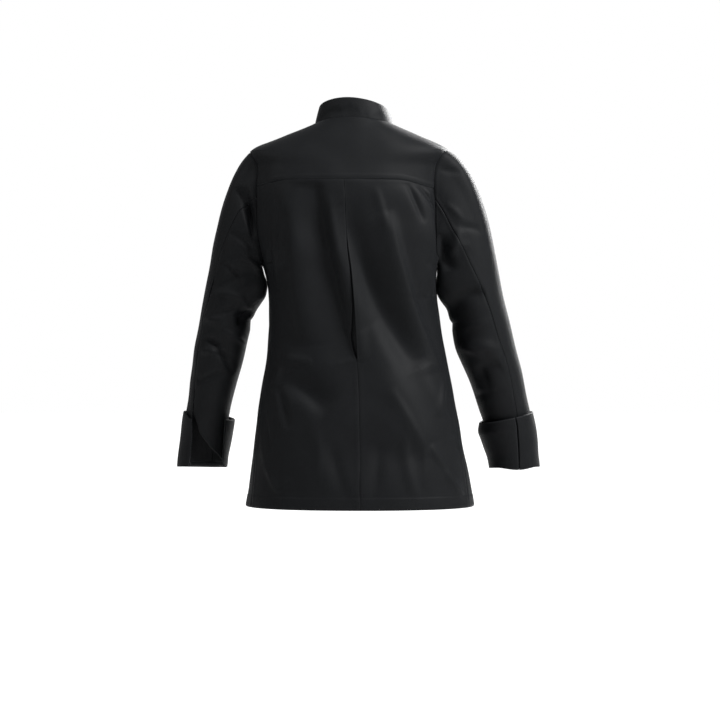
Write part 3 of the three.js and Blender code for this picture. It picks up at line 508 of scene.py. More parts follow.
def dip_of(x, level):
    """How far the yoke seam and the cloth by it hang lower towards the armholes."""
    ends = 7 * smooth_step(x, 125, 172) + 13 * smooth_step(-x, 72, 150)
    return ends * np.exp(-((level - YOKE_LEVEL) / 24) ** 2)


def body_panel(levels, first_edge, last_edge, first_side=None, last_side=None):
    """The grid of one body piece: its places, outward ways and lengths from its four edges.
    A side is the smooth line that an edge keeps to apart from the armhole's cut."""
    level = levels[:, None]
    from_side, to_side = (first_side or first_edge)(level), (last_side or last_edge)(level)
    samples = from_side + (to_side - from_side) * np.linspace(0, 1, 121)
    line = torso_smooth(samples, level)
    length = measure_across(line)
    first_cut = read_rows(samples, length, first_edge(level))
    last_cut = length[:, -1:] - read_rows(samples, length, last_edge(level))
    at, length, width = spread_columns(line, first_cut, last_cut)
    angle = read_rows(length, samples, at)
    places = torso_smooth(angle, level)
    places[..., 2] -= dip_of(places[..., 0], level) * smooth_step(np.sin(angle), 0, 0.2)
    down = measure_down(places)
    by_armhole = smooth_step(level, UNDERARM_LEVEL, UNDERARM_LEVEL + 16)
    return {
        "angle": angle, "level": level, "places": places,
        "outward": outward_of(torso_smooth, angle, level),
        "first": at - first_cut * by_armhole,
        "last": width - last_cut * by_armhole - at,
        "top": down, "bottom": down[-1] - down,
    }


def side_line(level):
    """Angle behind the side line of the shoulder and side seams, with no armhole between."""
    return np.where(at_armhole(level), 0, back_edge(level))


def body_folds(panel, armhole):
    """Height of the folds over a body piece, which die away towards the armhole."""
    x, z = panel["places"][..., 0], panel["places"][..., 2]
    sin = np.sin(panel["angle"])
    facing = smooth_step(np.abs(sin), 0.08, 0.4)
    behind = fold_height(BACK_FOLDS, x, z) * smooth_step(panel["level"], -700, -640)
    lapless = smooth_step(np.abs(x), FRONT_LAP + 20, FRONT_LAP + 60)
    before = fold_height(FRONT_FOLDS, x, z) * lapless
    below = 1 - smooth_step(panel["level"] - UNDERARM_LEVEL, 0, 34)
    above = panel["level"] >= SHOULDER_TIP_LEVEL
    calm = np.maximum(smooth_step(armhole, 1, 22), np.maximum(below, above))
    return np.where(sin > 0, behind, before) * facing * (calm * smooth_step(panel["top"], 0, 14))


yoke_levels = np.r_[
    -NECK_STEPS,
    np.linspace(-NECK_BAND, SHOULDER_TIP_LEVEL, 30),
    armhole_levels(SHOULDER_TIP_LEVEL - 0.2, YOKE_LEVEL + 11),
    YOKE_LEVEL + np.array([9.5, 8, 6.4, 4.6, 2.8, 1.5, 0.7, 0]),
]
yoke = body_panel(
    yoke_levels, back_edge, lambda level: math.pi - back_edge(level),
    side_line, lambda level: math.pi - side_line(level),
)
yoke_side = np.minimum(yoke["first"], yoke["last"])
yoke_height = slack(yoke["places"], 1) * smooth_step(yoke_side, 2, 20)
yoke_height += seam_relief(yoke_side) + seam_relief(yoke["bottom"]) + 0.5 * seam_relief(yoke["top"])
sheet_of_cloth(
    "yoke_cloth", "back_yoke", yoke["places"], yoke["outward"], yoke_height,
    (yoke_side, yoke["bottom"]),
    rests_on=["back_left_cloth", "back_right_cloth"],
)

# Back panels
# Two panels of twill sewn together down the centre back below the pleat, into the yoke seam
# above, the armholes and the side seams. The pleat's mouth stands open between them.
PLEAT_TOP, PLEAT_TACK, HEM_DEPTH = -190, -420, 20
# Pleat: level, how wide its mouth stands open, how far its lapping edge is raised
PLEAT_MOUTH = np.array([
    (-190, 0, 0), (-250, 1.4, 3), (-320, 2.6, 4.5), (-355, 6, 5), (-385, 8.5, 4.5), (-410, 4, 3),
    (-420, 0, 1),
])


def back_depth(level):
    return read_smooth(TORSO_RINGS, RING_COLUMNS.index("back"), level)


def at_pleat(column, level):
    tall = read_smooth(PLEAT_MOUTH, column, level)
    return np.where((level < PLEAT_TOP) & (level > PLEAT_TACK), tall, 0)


def pleat_open(level):
    """Angle by which the left panel stands back from the pleat's lapping edge."""
    return at_pleat(1, level) / back_depth(level)


def pleat_raise(panel):
    """How far the lapping panel stands out beside the pleat's mouth."""
    level = panel["level"]
    away = np.abs(panel["angle"] - math.pi / 2) * back_depth(level)
    return at_pleat(2, level) * (1 - smooth_step(away, 0, 26))


lower_levels = np.r_[
    np.linspace(UNDERARM_LEVEL, HEM_LEVEL + 26, 120),
    HEM_LEVEL + np.array([23, 21.2, 20.2, 19.2, 18, 15, 12, 9, 7, 5, 3, 1.6, 0.7, 0]),
]
back_levels = np.r_[
    YOKE_LEVEL - SEAM_GAP - EDGE_STEPS,
    armhole_levels(YOKE_LEVEL - 10, UNDERARM_LEVEL + 0.05),
    lower_levels,
]
back_panels = (
    ("back_left", back_edge, lambda level: math.pi / 2 - pleat_open(level),
     side_line, None, (0.24, 0.60), 0.112),
    ("back_right", lambda level: math.pi / 2 + 0 * level, lambda level: math.pi - back_edge(level),
     None, lambda level: math.pi - side_line(level), (0.25, 0.60), 0.114),
)
for seed, (word, *edges, flat, area) in enumerate(back_panels, 2):
    panel = body_panel(back_levels, *edges)
    armhole, centre = panel["first"], panel["last"]
    if word == "back_right":
        armhole, centre = centre, armhole
    height = body_folds(panel, armhole) + slack(panel["places"], seed)
    seamed = 0.5 * (1 - smooth_step(panel["level"], PLEAT_TACK - 30, PLEAT_TACK))
    height += seam_relief(armhole) + seamed * seam_relief(centre)
    height += hem_relief(panel["bottom"]) - 0.6 * np.exp(-(panel["top"] / 3) ** 2)
    if word == "back_right":
        height += pleat_raise(panel)
    pleat_row = np.where(panel["level"] > PLEAT_TACK, centre, UNSTITCHED)
    hem_row = np.abs(panel["bottom"] - HEM_DEPTH) + STITCH_INSET
    sheet_of_cloth(
        word + "_cloth", word, panel["places"], panel["outward"], height, (pleat_row, hem_row),
        rests_on=["yoke_cloth"],
    )

# Pleat underlay
# The folded-in cloth of the centre back pleat, seen through its mouth.
underlay_level = np.linspace(PLEAT_TOP + 12, PLEAT_TACK - 12, 72)[:, None]
underlay_angle = math.pi / 2 + np.linspace(-34, 34, 21) / back_depth(underlay_level)
underlay = torso_smooth(underlay_angle, underlay_level)
underlay_height = fold_height(BACK_FOLDS, underlay[..., 0], underlay[..., 2]) - CLOTH - 2.6
sheet_of_cloth(
    "pleat_underlay_cloth", "back_pleat", underlay,
    outward_of(torso_smooth, underlay_angle, underlay_level), underlay_height,
    rests_on=["back_right_cloth"],
)

# Fronts
# The left front lies under and the right front laps over it, each with a turned-in edge
# stitched down. Their top edges run from the collar seam out to the lapel corners.
LAPEL_CORNER_LEVEL = -30
LAPEL_RISE, LAPEL_RISE_WIDTH = 3.3, 48


def centre_front(level):
    return torso_smooth(1.5 * math.pi, level)[..., 0]


def front_angle(past, level):
    """Angles at which the front reaches a distance past its centre, to the left."""
    target = centre_front(level) + past
    low = np.full(level.shape, 1.5 * math.pi - 1.45)
    high = np.full(level.shape, 1.5 * math.pi + 1.45)
    for _ in range(34):
        middle = (low + high) / 2
        short = torso_smooth(middle, level)[..., 0] < target
        low, high = np.where(short, middle, low), np.where(short, high, middle)
    return (low + high) / 2


def lap_at(level):
    return FRONT_LAP * np.minimum(level / LAPEL_CORNER_LEVEL, 1)


def front_side_edge(level):
    """Angle behind the side line at which the fronts end, negative in front of it."""
    before = -np.radians(ARMHOLE_FRONT_ANGLE) * armhole_spread(level)
    return np.where(at_armhole(level), before, back_edge(level))


front_levels = np.r_[
    -NECK_STEPS,
    np.linspace(-NECK_BAND, SHOULDER_TIP_LEVEL, 34),
    armhole_levels(SHOULDER_TIP_LEVEL - 0.2, UNDERARM_LEVEL + 0.05),
    lower_levels,
]
front_panels = (
    ("front_left", lambda level: front_angle(-lap_at(level), level),
     lambda level: 2 * math.pi + front_side_edge(level),
     None, lambda level: 2 * math.pi + side_line(level), (0.40, 0.72), 0.209),
    ("front_right", lambda level: math.pi - front_side_edge(level),
     lambda level: front_angle(lap_at(level), level),
     lambda level: math.pi - side_line(level), None, (0.42, 0.72), 0.216),
)
for seed, (word, *edges, flat, area) in enumerate(front_panels, 12):
    panel = body_panel(front_levels, *edges)
    armhole, opening = panel["first"], panel["last"]
    if word == "front_left":
        armhole, opening = opening, armhole
    lapless = smooth_step(opening, 2 * FRONT_LAP + 20, 2 * FRONT_LAP + 50)
    height = body_folds(panel, armhole) + slack(panel["places"], seed) * (0.25 + 0.75 * lapless)
    height += seam_relief(armhole) + 0.6 * seam_relief(opening) + hem_relief(panel["bottom"])
    if word == "front_right":
        past = panel["places"][..., 0] - centre_front(panel["level"])
        from_shoulder = panel["angle"] - math.pi + front_side_edge(panel["level"])
        height += LAPEL_RISE * smooth_step(from_shoulder, 0, 0.5) * smooth_step(
            past, -FRONT_LAP - LAPEL_RISE_WIDTH, -FRONT_LAP - LAPEL_RISE_WIDTH / 2
        )
    hem_row = np.abs(panel["bottom"] - HEM_DEPTH) + STITCH_INSET
    sheet_of_cloth(
        word + "_cloth", word, panel["places"], panel["outward"], height, (opening - 3, hem_row),
        rests_on=["yoke_cloth"],
    )

# Collar
# A band of doubled twill that stands on the neck seam, leans in a little and is open at the
# centre front. It is stitched round its free edges.
COLLAR_CLOTH = 2.3
COLLAR_BACK_HEIGHT, COLLAR_SIDE_HEIGHT, COLLAR_LEAN, COLLAR_OPENING = 36.5, 30, 8.5, 4
NECK_RADIUS = 66
COLLAR_FOLDS = np.array([
    (62, 10, 26, 27, 2, 6, 6, -2.1), (42, 14, 6, 33, -2, 5, 5, -1.9),
    (20, 12, -6, 24, 1, 7, 7, -1.4), (-20, 14, -52, 26, 2, 8, 8, 1.4),
])


def free_edges(band):
    """Distances on a band from its nearer end and from its top edge."""
    across, up = measure_across(band), measure_down(band)
    return np.minimum(across, across[:, -1:] - across), up[-1] - up


def collar_place(u, v):
    """Places on the collar band: u runs round it, v up it."""
    gap = COLLAR_OPENING / NECK_RADIUS
    angle = gap / 2 - math.pi / 2 + (2 * math.pi - gap) * u
    seam = torso_smooth(angle, NECK_LEVEL)
    sides = torso_smooth([0, math.pi], NECK_LEVEL)[:, 0]
    axis = np.stack([0 * angle + sides.mean(), 0 * angle - 2, seam[..., 2]], axis=-1)
    taller = (COLLAR_BACK_HEIGHT - COLLAR_SIDE_HEIGHT) * np.maximum(np.sin(angle), 0)
    rise = 0.8 + (COLLAR_SIDE_HEIGHT + taller + 2.5 * np.cos(angle)) * v
    lean = COLLAR_LEAN * np.maximum(v, 0) ** 1.2
    return seam + unit(axis - seam) * lean[..., None] + rise[..., None] * [0, 0, 1]


collar_v = np.array([
    0, 0.02, 0.05, 0.1, 0.16, 0.24, 0.33, 0.42, 0.51, 0.6, 0.68, 0.76, 0.83, 0.88, 0.92, 0.955, 0.98, 1,
])
collar_u = np.r_[
    0, 0.0015, 0.003, 0.006, 0.011, np.linspace(0.016, 0.984, 150), 0.989, 0.994, 0.997, 0.9985, 1,
]
u, v = np.meshgrid(collar_u, collar_v)
collar = collar_place(u, v)
collar_out = outward_of(collar_place, np.clip(u, 0.002, 0.998), np.clip(v, 0.01, 0.99), 0.002, 0.01)
collar_edges = free_edges(collar)
collar_height = fold_height(COLLAR_FOLDS, collar[..., 0], collar[..., 2]) * (collar[..., 1] > 0)
collar_height += 0.5 * slack(collar, 31) - 0.9 * np.exp(-(np.minimum(*collar_edges) / 1.1) ** 2)
sheet_of_cloth(
    "collar_cloth", "collar", collar, collar_out, collar_height, collar_edges, COLLAR_CLOTH,
    rests_on=["yoke_cloth"],
)

# Sleeves
# Each is an upper and an under panel, joined by an elbow seam behind and an inner seam
# before, and set into the armhole. The elbow seam ends in the cuff's slit.
ARM_COLUMNS = ("along", "x", "y", "z", "outward", "backward", "tilt")
LEFT_ARM = np.array([
    (232, -18, -340, 47, 52, 10.6),
    (241.5, -25, -383, 46.5, 51, 10.6),
    (248, -30, -412, 45.5, 49.5, 10.6),
    (257, -38, -455, 42.5, 46.5, 10.6),
    (265.5, -47, -500, 39.5, 43, 10),
    (272, -54, -540, 39.2, 41, 8),
    (277, -61, -580, 40.2, 40.5, 4),
    (279.5, -63, -606, 41, 40.5, 1),
])
RIGHT_ARM = np.array([
    (-224, -18, -340, 51, 54, 15),
    (-233, -25, -383, 52.5, 53, 15),
    (-242.5, -30, -412, 51, 51, 15),
    (-258, -38, -455, 48, 48, 15),
    (-270.5, -47, -500, 45, 44.5, 14),
    (-281, -54, -540, 43, 42, 10),
    (-287.5, -61, -580, 42, 41, 5),
    (-291, -63, -607, 41.5, 41, 2),
])
# Sleeve seams: part of the sleeve, and degrees about the arm of the elbow seam's upper and
# under edges and of the inner seam
LEFT_SEAMS = np.array([
    (0, 82.5, 82.5, 232.5), (0.3, 62, 62, 236), (0.6, 46, 46, 240), (1, 37, 37, 244),
    (1.3, 37, 37, 246), (1.66, 48.7, 48.7, 248), (1.72, 51, 64, 248), (1.8, 57, 78, 248),
    (1.9, 61, 112, 248), (2, 62, 162, 248),
])
RIGHT_SEAMS = np.array([
    (0, 82.5, 82.5, 232.5), (0.3, 84, 84, 236), (0.6, 79, 79, 240), (1, 65, 65, 244),
    (1.3, 58, 58, 246), (1.66, 66, 66, 248), (1.8, 74, 75, 248), (2, 84, 86, 248),
])
LEFT_SLEEVE_FOLDS = np.array([
    (205, -112, 176, -200, 4, 9, 9, -9.6),
    (192, -130, 162, -225, 4, 7, 7, -9.6),
    (252, -300, 176, -262, 8, 14, 14, -7.2),
    (268, -378, 218, -436, 8, 11, 11, -7.2),
    (212, -352, 186, -332, 4, 12, 12, -7.2),
    (276, -340, 230, -360, 6, 12, 12, 4.8),
    # The sharper creases
    (213, -110, 179, -206, 3, 4, 4, -5.7),
    (195, -135, 169, -213, 2, 3.6, 3.6, -6.1),
    (268, -377, 219, -443, 3, 4.5, 4.5, -6.5),
    (213, -359, 181, -331, 0, 5, 5, -5.7),
    (238, -244, 199, -285, 3, 6, 6, -4.3),
    (205, -232, 167, -261, 2, 5, 5, 4.3),
    (252, -298, 196, -312, 3, 6, 6, 4.3),
    (259, -341, 206, -322, -2, 5, 5, -4.7),
    (277, -405, 224, -405, 3, 6, 6, 4.3),
    (284, -459, 232, -441, 2, 5, 5, -4.3),
    (238, -366, 196, -392, 2, 5, 5, 4.7),
    (223, -191, 178, -226, 2, 6, 6, -3.9),
])
RIGHT_SLEEVE_FOLDS = np.array([
    (-152, -196, -172, -262, -6, 12, 12, -8.4),
    (-186, -186, -166, -236, 4, 10, 10, 4.8),
    (-168, -330, -232, -300, 8, 14, 14, -7.2),
    (-190, -400, -262, -408, 8, 13, 13, 6),
    (-216, -450, -262, -430, 6, 14, 14, -6),
    # The sharper creases
    (-147, -83, -190, -87, 1, 5, 5, -2.4),
    (-186, -182, -224, -188, 1, 4.5, 4.5, -2.7),
    (-191, -394, -232, -414, 2, 6, 6, 2.7),
    (-220, -430, -242, -477, 2, 8, 8, -2.7),
    (-163, -223, -206, -215, 2, 7, 7, 2),
    (-170, -312, -235, -297, 3, 7, 7, -2.2),
    (-181, -369, -246, -351, 3, 7, 7, 2),
    (-198, -491, -271, -477, 3, 6, 6, -2.2),
    (-159, -142, -192, -172, 2, 6, 6, 2),
])
# Folds on the hidden front half of either sleeve, on the left one's side
FRONT_SLEEVE_FOLDS = np.array([
    (258, -290, 200, -330, 6, 12, 12, -5),
    (262, -345, 212, -352, -4, 10, 10, 4),
    (270, -395, 222, -372, 5, 9, 9, -4),
    (246, -235, 196, -262, 4, 10, 10, -3),
    (280, -450, 236, -470, 4, 9, 9, 3),
    (216, -150, 196, -230, 3, 8, 8, -3),
])
# Cloth bunched under the arm: level, and how far it stands towards the body on either arm
UNDERARM_BUNCH = np.array([
    (-248, 0, 0), (-262, 5.2, 3), (-272, 10, 6), (-283, 13, 8.4), (-294, 12.6, 9.6),
    (-305, 10, 7), (-316, 3, 1.5), (-327, -3, -4), (-337, -5, -5), (-350, -3, -2.4), (-366, 0, 0),
])
ARMHOLE_GAP, UNDERARM_STEP, UNDERARM_TURN = 0.6, 2.5, 62
ARM_LEAN, CUFF_LEAN = -0.1, 0.05
# Way out of the armhole and reach of the curve, at the arm's top, side and under it
HEAD_WAYS = {1: ((160, -120), (90, -120), (40, -130)), -1: ((202, -62), (90, -120), (40, -130))}
HEAD_REACH = (300, 180, 60)


class Sleeve:
    """All that one sleeve's shape is worked out from. Side is 1 on the left, -1 on the right."""

    def __init__(self, side, sections, folds):
        self.side, self.folds = side, folds
        along = measure_down(sections[:, None, :3])
        self.length = along[-1, 0]
        self.table = np.concatenate([along, sections], axis=1)

    def value(self, title, along):
        return read_smooth(self.table, ARM_COLUMNS.index(title), np.minimum(along, self.length))

    def centre(self, along):
        return np.stack([self.value(c, along) for c in ("x", "y", "z")], axis=-1)

    def about_arm(self, psi, along, out=0.0):
        """Places about the arm below the armpit, at a distance out of its surface."""
        psi, along = np.broadcast_arrays(psi, along)
        tilt = np.radians(self.value("tilt", along))
        outward = np.stack([self.side * np.cos(tilt), 0 * tilt, np.sin(tilt)], axis=-1)
        lean = ARM_LEAN + (CUFF_LEAN - ARM_LEAN) * smooth_step(along, self.length / 2, self.length)
        backward = unit(np.stack([0 * lean, 0 * lean + 1, lean], axis=-1))
        end_way = unit(self.centre(np.array(self.length)) - self.centre(np.array(self.length - 2)))
        beyond = np.maximum(along - self.length, 0)
        wide, deep = self.value("outward", along) + out, self.value("backward", along) + out
        return (
            self.centre(along)
            + beyond[..., None] * end_way
            + outward * (wide * np.cos(psi))[..., None]
            + backward * (deep * np.sin(psi))[..., None]
        )

    def armhole(self, psi):
        """Angle and level on the body where the armhole passes an angle about the arm."""
        turn = np.where(np.sin(psi) >= 0, ARMHOLE_BACK_ANGLE, -ARMHOLE_FRONT_ANGLE)
        level = ARMHOLE_MIDDLE + ARMHOLE_HALF * np.cos(psi)
        angle = np.radians(turn) * armhole_spread(level)
        return (angle if self.side > 0 else math.pi - angle), level

    def three_way(self, psi, top, middle, under):
        """A value about the arm, from those at its top, at its sides and under it."""
        cos = np.cos(psi)
        return np.where(cos >= 0, middle + (top - middle) * cos, middle - (under - middle) * cos)

    def smooth(self, psi, part):
        """Places on the sleeve: part 0 is the armhole, 1 the armpit section and 2 the end."""
        psi, part = np.broadcast_arrays(psi, part)
        below = self.about_arm(psi, np.maximum(part - 1, 0) * self.length)
        out_ways, down_ways = zip(*HEAD_WAYS[self.side])
        way = np.stack([
            self.side * self.three_way(psi, *out_ways),
            12 * np.sin(psi),
            self.three_way(psi, *down_ways),
        ], axis=-1)
        body_out = outward_of(torso_smooth, *self.armhole(psi))
        along_seam = torso_smooth(*self.armhole(psi + 0.06)) - torso_smooth(*self.armhole(psi - 0.06))
        across_seam = unit(np.cross(along_seam, body_out)) * self.side
        under_arm = (np.maximum(-np.cos(psi), 0) ** 2)[..., None]
        start = torso_smooth(*self.armhole(psi)) + across_seam * ARMHOLE_GAP
        start = start + body_out * (UNDERARM_STEP * under_arm)
        end = self.about_arm(psi, 0)
        reach = self.three_way(psi, *HEAD_REACH)[..., None]
        arrive = unit(self.about_arm(psi, 4) - end) * reach
        arrive = arrive + self.side * UNDERARM_TURN * under_arm * [1, 0, 0]
        head = curve(np.clip(part, 0, 1)[..., None], start, way, end, arrive)
        return np.where(part[..., None] >= 1, below, head)

    def outward(self, psi, part):
        free = outward_of(self.smooth, psi, np.clip(part, 0.02, 1.98), 0.01, 0.01) * -self.side
        body_out = outward_of(torso_smooth, *self.armhole(psi))
        share = np.clip(part / 0.1, 0, 1)[..., None]
        return unit(body_out * (1 - share) + free * share)

    def fold(self, psi, part, places):
        """Height of the sleeve's folds, seen from behind and, on its front half, from before."""
        x, z = places[..., 0], places[..., 2]
        free = smooth_step(part, 0.02, 0.15)
        behind = fold_height(self.folds, x, z) * smooth_step(np.sin(psi), 0.05, 0.45)
        before = fold_height(FRONT_SLEEVE_FOLDS, x * self.side, z)
        before = before * smooth_step(-np.sin(psi), 0.05, 0.45)
        bunch = read_smooth(UNDERARM_BUNCH, 1 if self.side > 0 else 2, z)
        bunch = bunch * np.maximum(-np.cos(psi), 0) ** 2
        return (behind + before) * free + bunch


def sleeve_panel(node, arm, first_seam, last_seam, seed, stitched):
    """One panel of a sleeve between two seams, given by their degrees along the sleeve."""
    part = np.r_[
        0, 0.004, 0.009, 0.016, 0.025, 0.035, 0.047, np.linspace(0.06, 1, 58),
        np.linspace(1.012, 1.985, 80), 1.99, 1.995, 2,
    ][:, None]
    first, last = np.radians(first_seam(part)), np.radians(last_seam(part))
    samples = first + (last - first) * np.linspace(0, 1, 61)
    from_first, length, width = spread_columns(arm.smooth(samples, part))
    psi = read_rows(length, samples, from_first)
    places = arm.smooth(psi, part)
    down = measure_down(places)
    from_last = width - from_first
    height = arm.fold(psi, part, places) + 1.2 * slack(places, seed) * smooth_step(part, 0.02, 0.2)
    height += 0.8 * seam_relief(np.minimum(from_first, from_last))
    height += 0.6 * np.exp(-((down - 6) / 4) ** 2) - np.exp(-(down / 1.4) ** 2)
    sheet_of_cloth(
        node + "_cloth", node, places, arm.outward(psi, part), height,
        (from_last if stitched else UNSTITCHED, UNSTITCHED), turned=arm.side > 0,
        rests_on=["front_left_cloth" if arm.side > 0 else "front_right_cloth"],
    )


left_arm = Sleeve(1, LEFT_ARM, LEFT_SLEEVE_FOLDS)
right_arm = Sleeve(-1, RIGHT_ARM, RIGHT_SLEEVE_FOLDS)
for word, arm, seams, flat, area, seed in (
    ("left", left_arm, LEFT_SEAMS, (0.22, 0.53), 0.080, 41),
    ("right", right_arm, RIGHT_SEAMS, (0.26, 0.55), 0.097, 51),
):
    def seam_line(column, turn=0):
        return lambda part: read_straight(seams, column, part) + turn

    sleeve_panel(
        f"sleeve_{word}_upper", arm, seam_line(3, -360), seam_line(1), seed, True
    )
    sleeve_panel(
        f"sleeve_{word}_under", arm, seam_line(2), seam_line(3), seed + 1, False
    )

# Cuffs
# A strip of doubled twill sewn inside each sleeve's end, turned back up over the sleeve and
# left open at the slit. It is stitched along its free edges.
CUFF_CLOTH = 2.0
# From the seam inside the sleeve's end round the fold: along is how far below the end, then
# how far out of the sleeve's surface on the arm's outer side and on its inner side
CUFF_FOLD = [
    (0.4, -0.9, -0.9), (5, -0.9, -0.9), (7.2, -0.2, -0.2), (8.1, 1.7, 1.7), (7.2, 3.6, 3.6),
    (5, 4.3, 4.3),
]
LEFT_CUFF = CUFF_FOLD + [(-12, 4.3, 5), (-30, 4.5, 7), (-52, 4.8, 9), (-72, 5, 10), (-88, 4.8, 10)]
RIGHT_CUFF = CUFF_FOLD + [(-12, 4.6, 5), (-30, 5, 8.5), (-52, 4.6, 12), (-68, 4.4, 13.5), (-86, 4.2, 7)]
# Slit edges: step from the inner seam to the top, and the flap's first and last degrees
LEFT_EDGES = np.array([(0, 62, 165), (0.4, 62, 163), (0.6, 63, 146), (0.8, 62, 139), (1, 55, 135)])
RIGHT_EDGES = np.array([(0, 84, 86), (0.5, 82, 84.5), (1, 74, 76.5)])
cuffs = (
    ("left", left_arm, LEFT_CUFF, LEFT_EDGES, 9, 0, (0.24, 0.105), 0.0222, 61),
    ("right", right_arm, RIGHT_CUFF, RIGHT_EDGES, 0, 5, (0.30, 0.105), 0.0293, 62),
)
for word, arm, section, edges, corner_drop, slit_sag, flat, area, seed in cuffs:
    section = np.column_stack([np.linspace(0, 1, len(section)), section])

    def cuff_place(u, v):
        """Places on the cuff: u runs round it and v from its inner seam out to its top."""
        first = np.radians(read_straight(edges, 1, v))
        last = np.radians(read_straight(edges, 2, v)) - 2 * math.pi
        psi = first + (last - first) * u
        outer_side = (1 + np.cos(psi)) / 2
        below, outer, inner = (read_smooth(section, k, v) for k in (1, 2, 3))
        out = inner + (outer - inner) * outer_side
        fold = smooth_step(v, 0, 0.2) * (1 - smooth_step(v, 0.3, 0.9))
        drop = corner_drop * smooth_step(v, 0.6, 1) * (1 - smooth_step(u, 0, 0.12))
        drop = drop + slit_sag * fold * (1 - smooth_step(np.minimum(u, 1 - u), 0, 0.16))
        return arm.about_arm(psi, arm.length + below + drop, out)

    rows = np.r_[
        np.linspace(0, 0.5, 34), np.linspace(0.515, 0.975, 24), 0.98, 0.985, 0.99, 0.995, 1,
    ]
    columns = np.r_[
        0, 0.002, 0.005, 0.01, 0.017, 0.024, np.linspace(0.034, 0.966, 84),
        0.976, 0.983, 0.99, 0.995, 0.998, 1,
    ]
    u, v = np.meshgrid(columns, rows)
    cuff = cuff_place(u, v)
    cuff_out = outward_of(cuff_place, np.clip(u, 0.003, 0.997), np.clip(v, 0.01, 0.99), 0.003, 0.01)
    cuff_edges = free_edges(cuff)
    cuff_height = 0.9 * slack(cuff, seed) - 0.8 * np.exp(-(np.minimum(*cuff_edges) / 1.1) ** 2)
    cuff_height = CUFF_CLOTH / 2 + smooth_step(v, 0.52, 0.62) * cuff_height
    sheet_of_cloth(
        f"cuff_{word}_cloth", f"cuff_{word}", cuff, cuff_out * -arm.side, cuff_height, cuff_edges,
        CUFF_CLOTH, turned=arm.side > 0,
        rests_on=[f"sleeve_{word}_upper_cloth"],
    )

# Buttons
# Black moulded plastic, 20 mm across, with a raised rim, a dished middle and four holes that
# the thread crosses. Ten stand in two rows on the lapping front.
BUTTON_ROWS, BUTTON_PITCH, TOP_BUTTON_LEVEL, BUTTON_INSET, BUTTON_LIFT = 5, 80, -66, 20, 0.5
HOLE_OFFSET, HOLE_RADIUS, THREAD_RADIUS = 2.3, 1.1, 0.45
# The button's outline: distance from its axis and height off the cloth
BUTTON_PROFILE = [
    (0.0, 0.3), (8.4, 0.3), (9.5, 0.7), (10, 1.4), (10, 2.4), (9.6, 3.1), (8.8, 3.4), (7.9, 3.3),
    (7.1, 2.7), (6.2, 2.35), (0.0, 2.2),
]


def speckled_material(name, scale, detail, dark, light, inputs):
    """Black plastic or thread with a fine unevenness of tone. Gives the unevenness too."""
    material = new_material(name, inputs)
    start = Wire(material.node_tree)
    place = start.node("ShaderNodeTexCoord", output="Object")
    grain = start.node("ShaderNodeTexNoise", None, {"Vector": place, "Scale": scale, "Detail": detail})
    wire_up(material, {"Base Color": start.node(
        "ShaderNodeMix", {"data_type": "RGBA"}, {0: grain, 6: (*dark, 1), 7: (*light, 1)}, 2
    )})
    return material, grain


plastic, grain = speckled_material(
    "button_plastic", 260.0, 3.0, (0.0009, 0.0009, 0.001), (0.0014, 0.0014, 0.0015),
    {"Specular IOR Level": 0.035},
)
wire_up(plastic, {
    "Roughness": 0.3 + grain * 0.12,
    "Normal": grain.node(
        "ShaderNodeBump", None, {"Strength": 0.3, "Distance": 0.0003, "Height": grain}, "Normal"
    ),
})
thread = speckled_material(
    "button_thread", 2600.0, 1.0, (0.0014, 0.0014, 0.0016), (0.004, 0.004, 0.0043),
    {"Roughness": 0.7, "Specular IOR Level": 0.03},
)[0]

outline = bpy.data.meshes.new("button_outline")
outline.from_pydata(
    [(r * MM, 0, h * MM) for r, h in BUTTON_PROFILE],
    [(i, i + 1) for i in range(len(BUTTON_PROFILE) - 1)], [],
)
pattern = new_object("button_pattern", outline)
bpy.ops.object.select_all(action="DESELECT")
bpy.context.view_layer.objects.active = pattern
bpy.ops.object.mode_set(mode="EDIT")
bpy.ops.mesh.select_all(action="SELECT")
bpy.ops.mesh.spin(steps=48, angle=2 * math.pi, center=(0, 0, 0), axis=(0, 0, 1))
bpy.ops.mesh.select_all(action="SELECT")
bpy.ops.mesh.remove_doubles(threshold=0.00001)
bpy.ops.mesh.normals_make_consistent(inside=False)
bpy.ops.object.mode_set(mode="OBJECT")
for corner in range(4):
    turn = math.radians(45 + 90 * corner)
    bpy.ops.mesh.primitive_cylinder_add(
        vertices=14, radius=HOLE_RADIUS * MM, depth=0.01,
        location=(HOLE_OFFSET * MM * math.cos(turn), HOLE_OFFSET * MM * math.sin(turn), 0),
    )
    drill = bpy.context.object
    hole = pattern.modifiers.new("hole", "BOOLEAN")
    hole.operation = "DIFFERENCE"
    hole.object = drill
    bpy.context.view_layer.objects.active = pattern
    bpy.ops.object.modifier_apply(modifier="hole")
    bpy.data.objects.remove(drill)
bpy.ops.object.select_all(action="DESELECT")
pattern.select_set(True)
bpy.ops.object.shade_smooth_by_angle(angle=math.radians(28))

thread_parts = []
for turn in (45, 135):
    bpy.ops.mesh.primitive_torus_add(
        major_radius=HOLE_OFFSET * MM, minor_radius=THREAD_RADIUS * MM,
        major_segments=24, minor_segments=8,
        location=(0, 0, 1.5 * MM), rotation=(math.radians(90), 0, math.radians(turn)),
    )
    thread_parts.append(bpy.context.object)
for part in thread_parts:
    part.select_set(True)
bpy.ops.object.join()
thread_pattern = bpy.context.object
thread_pattern.data.transform(thread_pattern.matrix_world)
thread_pattern.matrix_world.identity()
bpy.ops.object.shade_smooth()


def sew_on(pattern, title, turn, material):
    """A copy of a pattern at its place on the lapping front."""
    copy = new_object(title, pattern.data.copy())
    copy.data.transform(turn)
    copy.data.materials.clear()
    copy.data.materials.append(material)
    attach(copy, "root")
    return copy


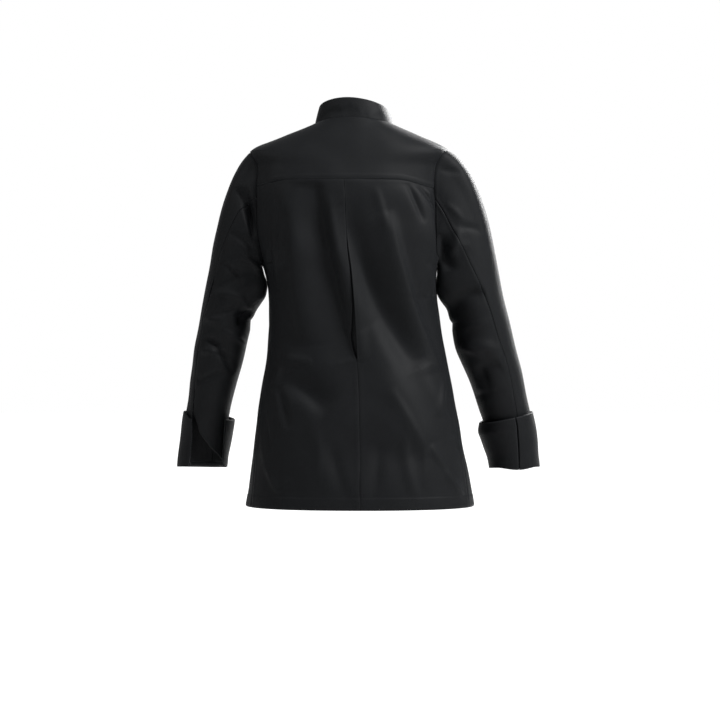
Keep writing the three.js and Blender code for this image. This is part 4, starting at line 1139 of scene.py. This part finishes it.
button_levels = np.float64(TOP_BUTTON_LEVEL) - BUTTON_PITCH * np.arange(BUTTON_ROWS)
for row, level in enumerate(button_levels, 1):
    for word, past in (("left", FRONT_LAP - BUTTON_INSET), ("right", BUTTON_INSET - FRONT_LAP)):
        angle = front_angle(past, level)
        outward = Vector(outward_of(torso_smooth, angle, level))
        turn = outward.to_track_quat("Z", "Y").to_matrix().to_4x4()
        turn.translation = (
            Vector(torso_smooth(angle, level) * MM) + outward * (LAPEL_RISE + BUTTON_LIFT) * MM
        )
        button = sew_on(pattern, f"button_{word}_{row}_plastic", turn, plastic)
        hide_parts(f"button_{word}_{row}")
        sew_on(thread_pattern, f"button_{word}_{row}_thread", turn, thread)
bpy.data.objects.remove(pattern)
bpy.data.objects.remove(thread_pattern)

# Buttonholes
# Five slits corded round with black thread, one under each button of the left row. Each runs
# level from just past the button's middle, and its inner end shows beside the button.
SLIT_LENGTH, SLIT_START, SLIT_HALF_WIDTH, CORD_RADIUS, CORD_LIFT = 20, 2, 1.2, 0.55, 1
bpy.ops.mesh.primitive_torus_add(
    major_radius=SLIT_HALF_WIDTH * MM, minor_radius=CORD_RADIUS * MM,
    major_segments=24, minor_segments=8, location=(0, 0, 0),
)
cord_pattern = bpy.context.object
corners = cord_pattern.data.vertices
for corner in corners:
    corner.select = corner.co.x < -0.01 * MM
for part in (*cord_pattern.data.edges, *cord_pattern.data.polygons):
    part.select = all(corners[i].select for i in part.vertices)
bpy.ops.object.mode_set(mode="EDIT")
bpy.ops.mesh.select_mode(type="VERT")
bpy.ops.transform.translate(value=(-SLIT_LENGTH * MM, 0, 0))
bpy.ops.object.mode_set(mode="OBJECT")
bpy.ops.object.shade_smooth()
for row, level in enumerate(button_levels, 1):
    angle = front_angle(FRONT_LAP - BUTTON_INSET - SLIT_LENGTH / 2, level)
    outward = outward_of(torso_smooth, angle, level)
    across = unit(np.cross([0, 0, 1], outward))
    middle = torso_smooth(angle, level) + outward * (LAPEL_RISE + CORD_LIFT)
    turn = np.eye(4)
    turn[:3, 0], turn[:3, 1], turn[:3, 2] = across, np.cross(outward, across), outward
    turn[:3, 3] = (middle + across * (SLIT_START + SLIT_LENGTH / 2)) * MM
    sew_on(cord_pattern, f"buttonhole_{row}_cord", Matrix(turn.tolist()), thread)
bpy.data.objects.remove(cord_pattern)
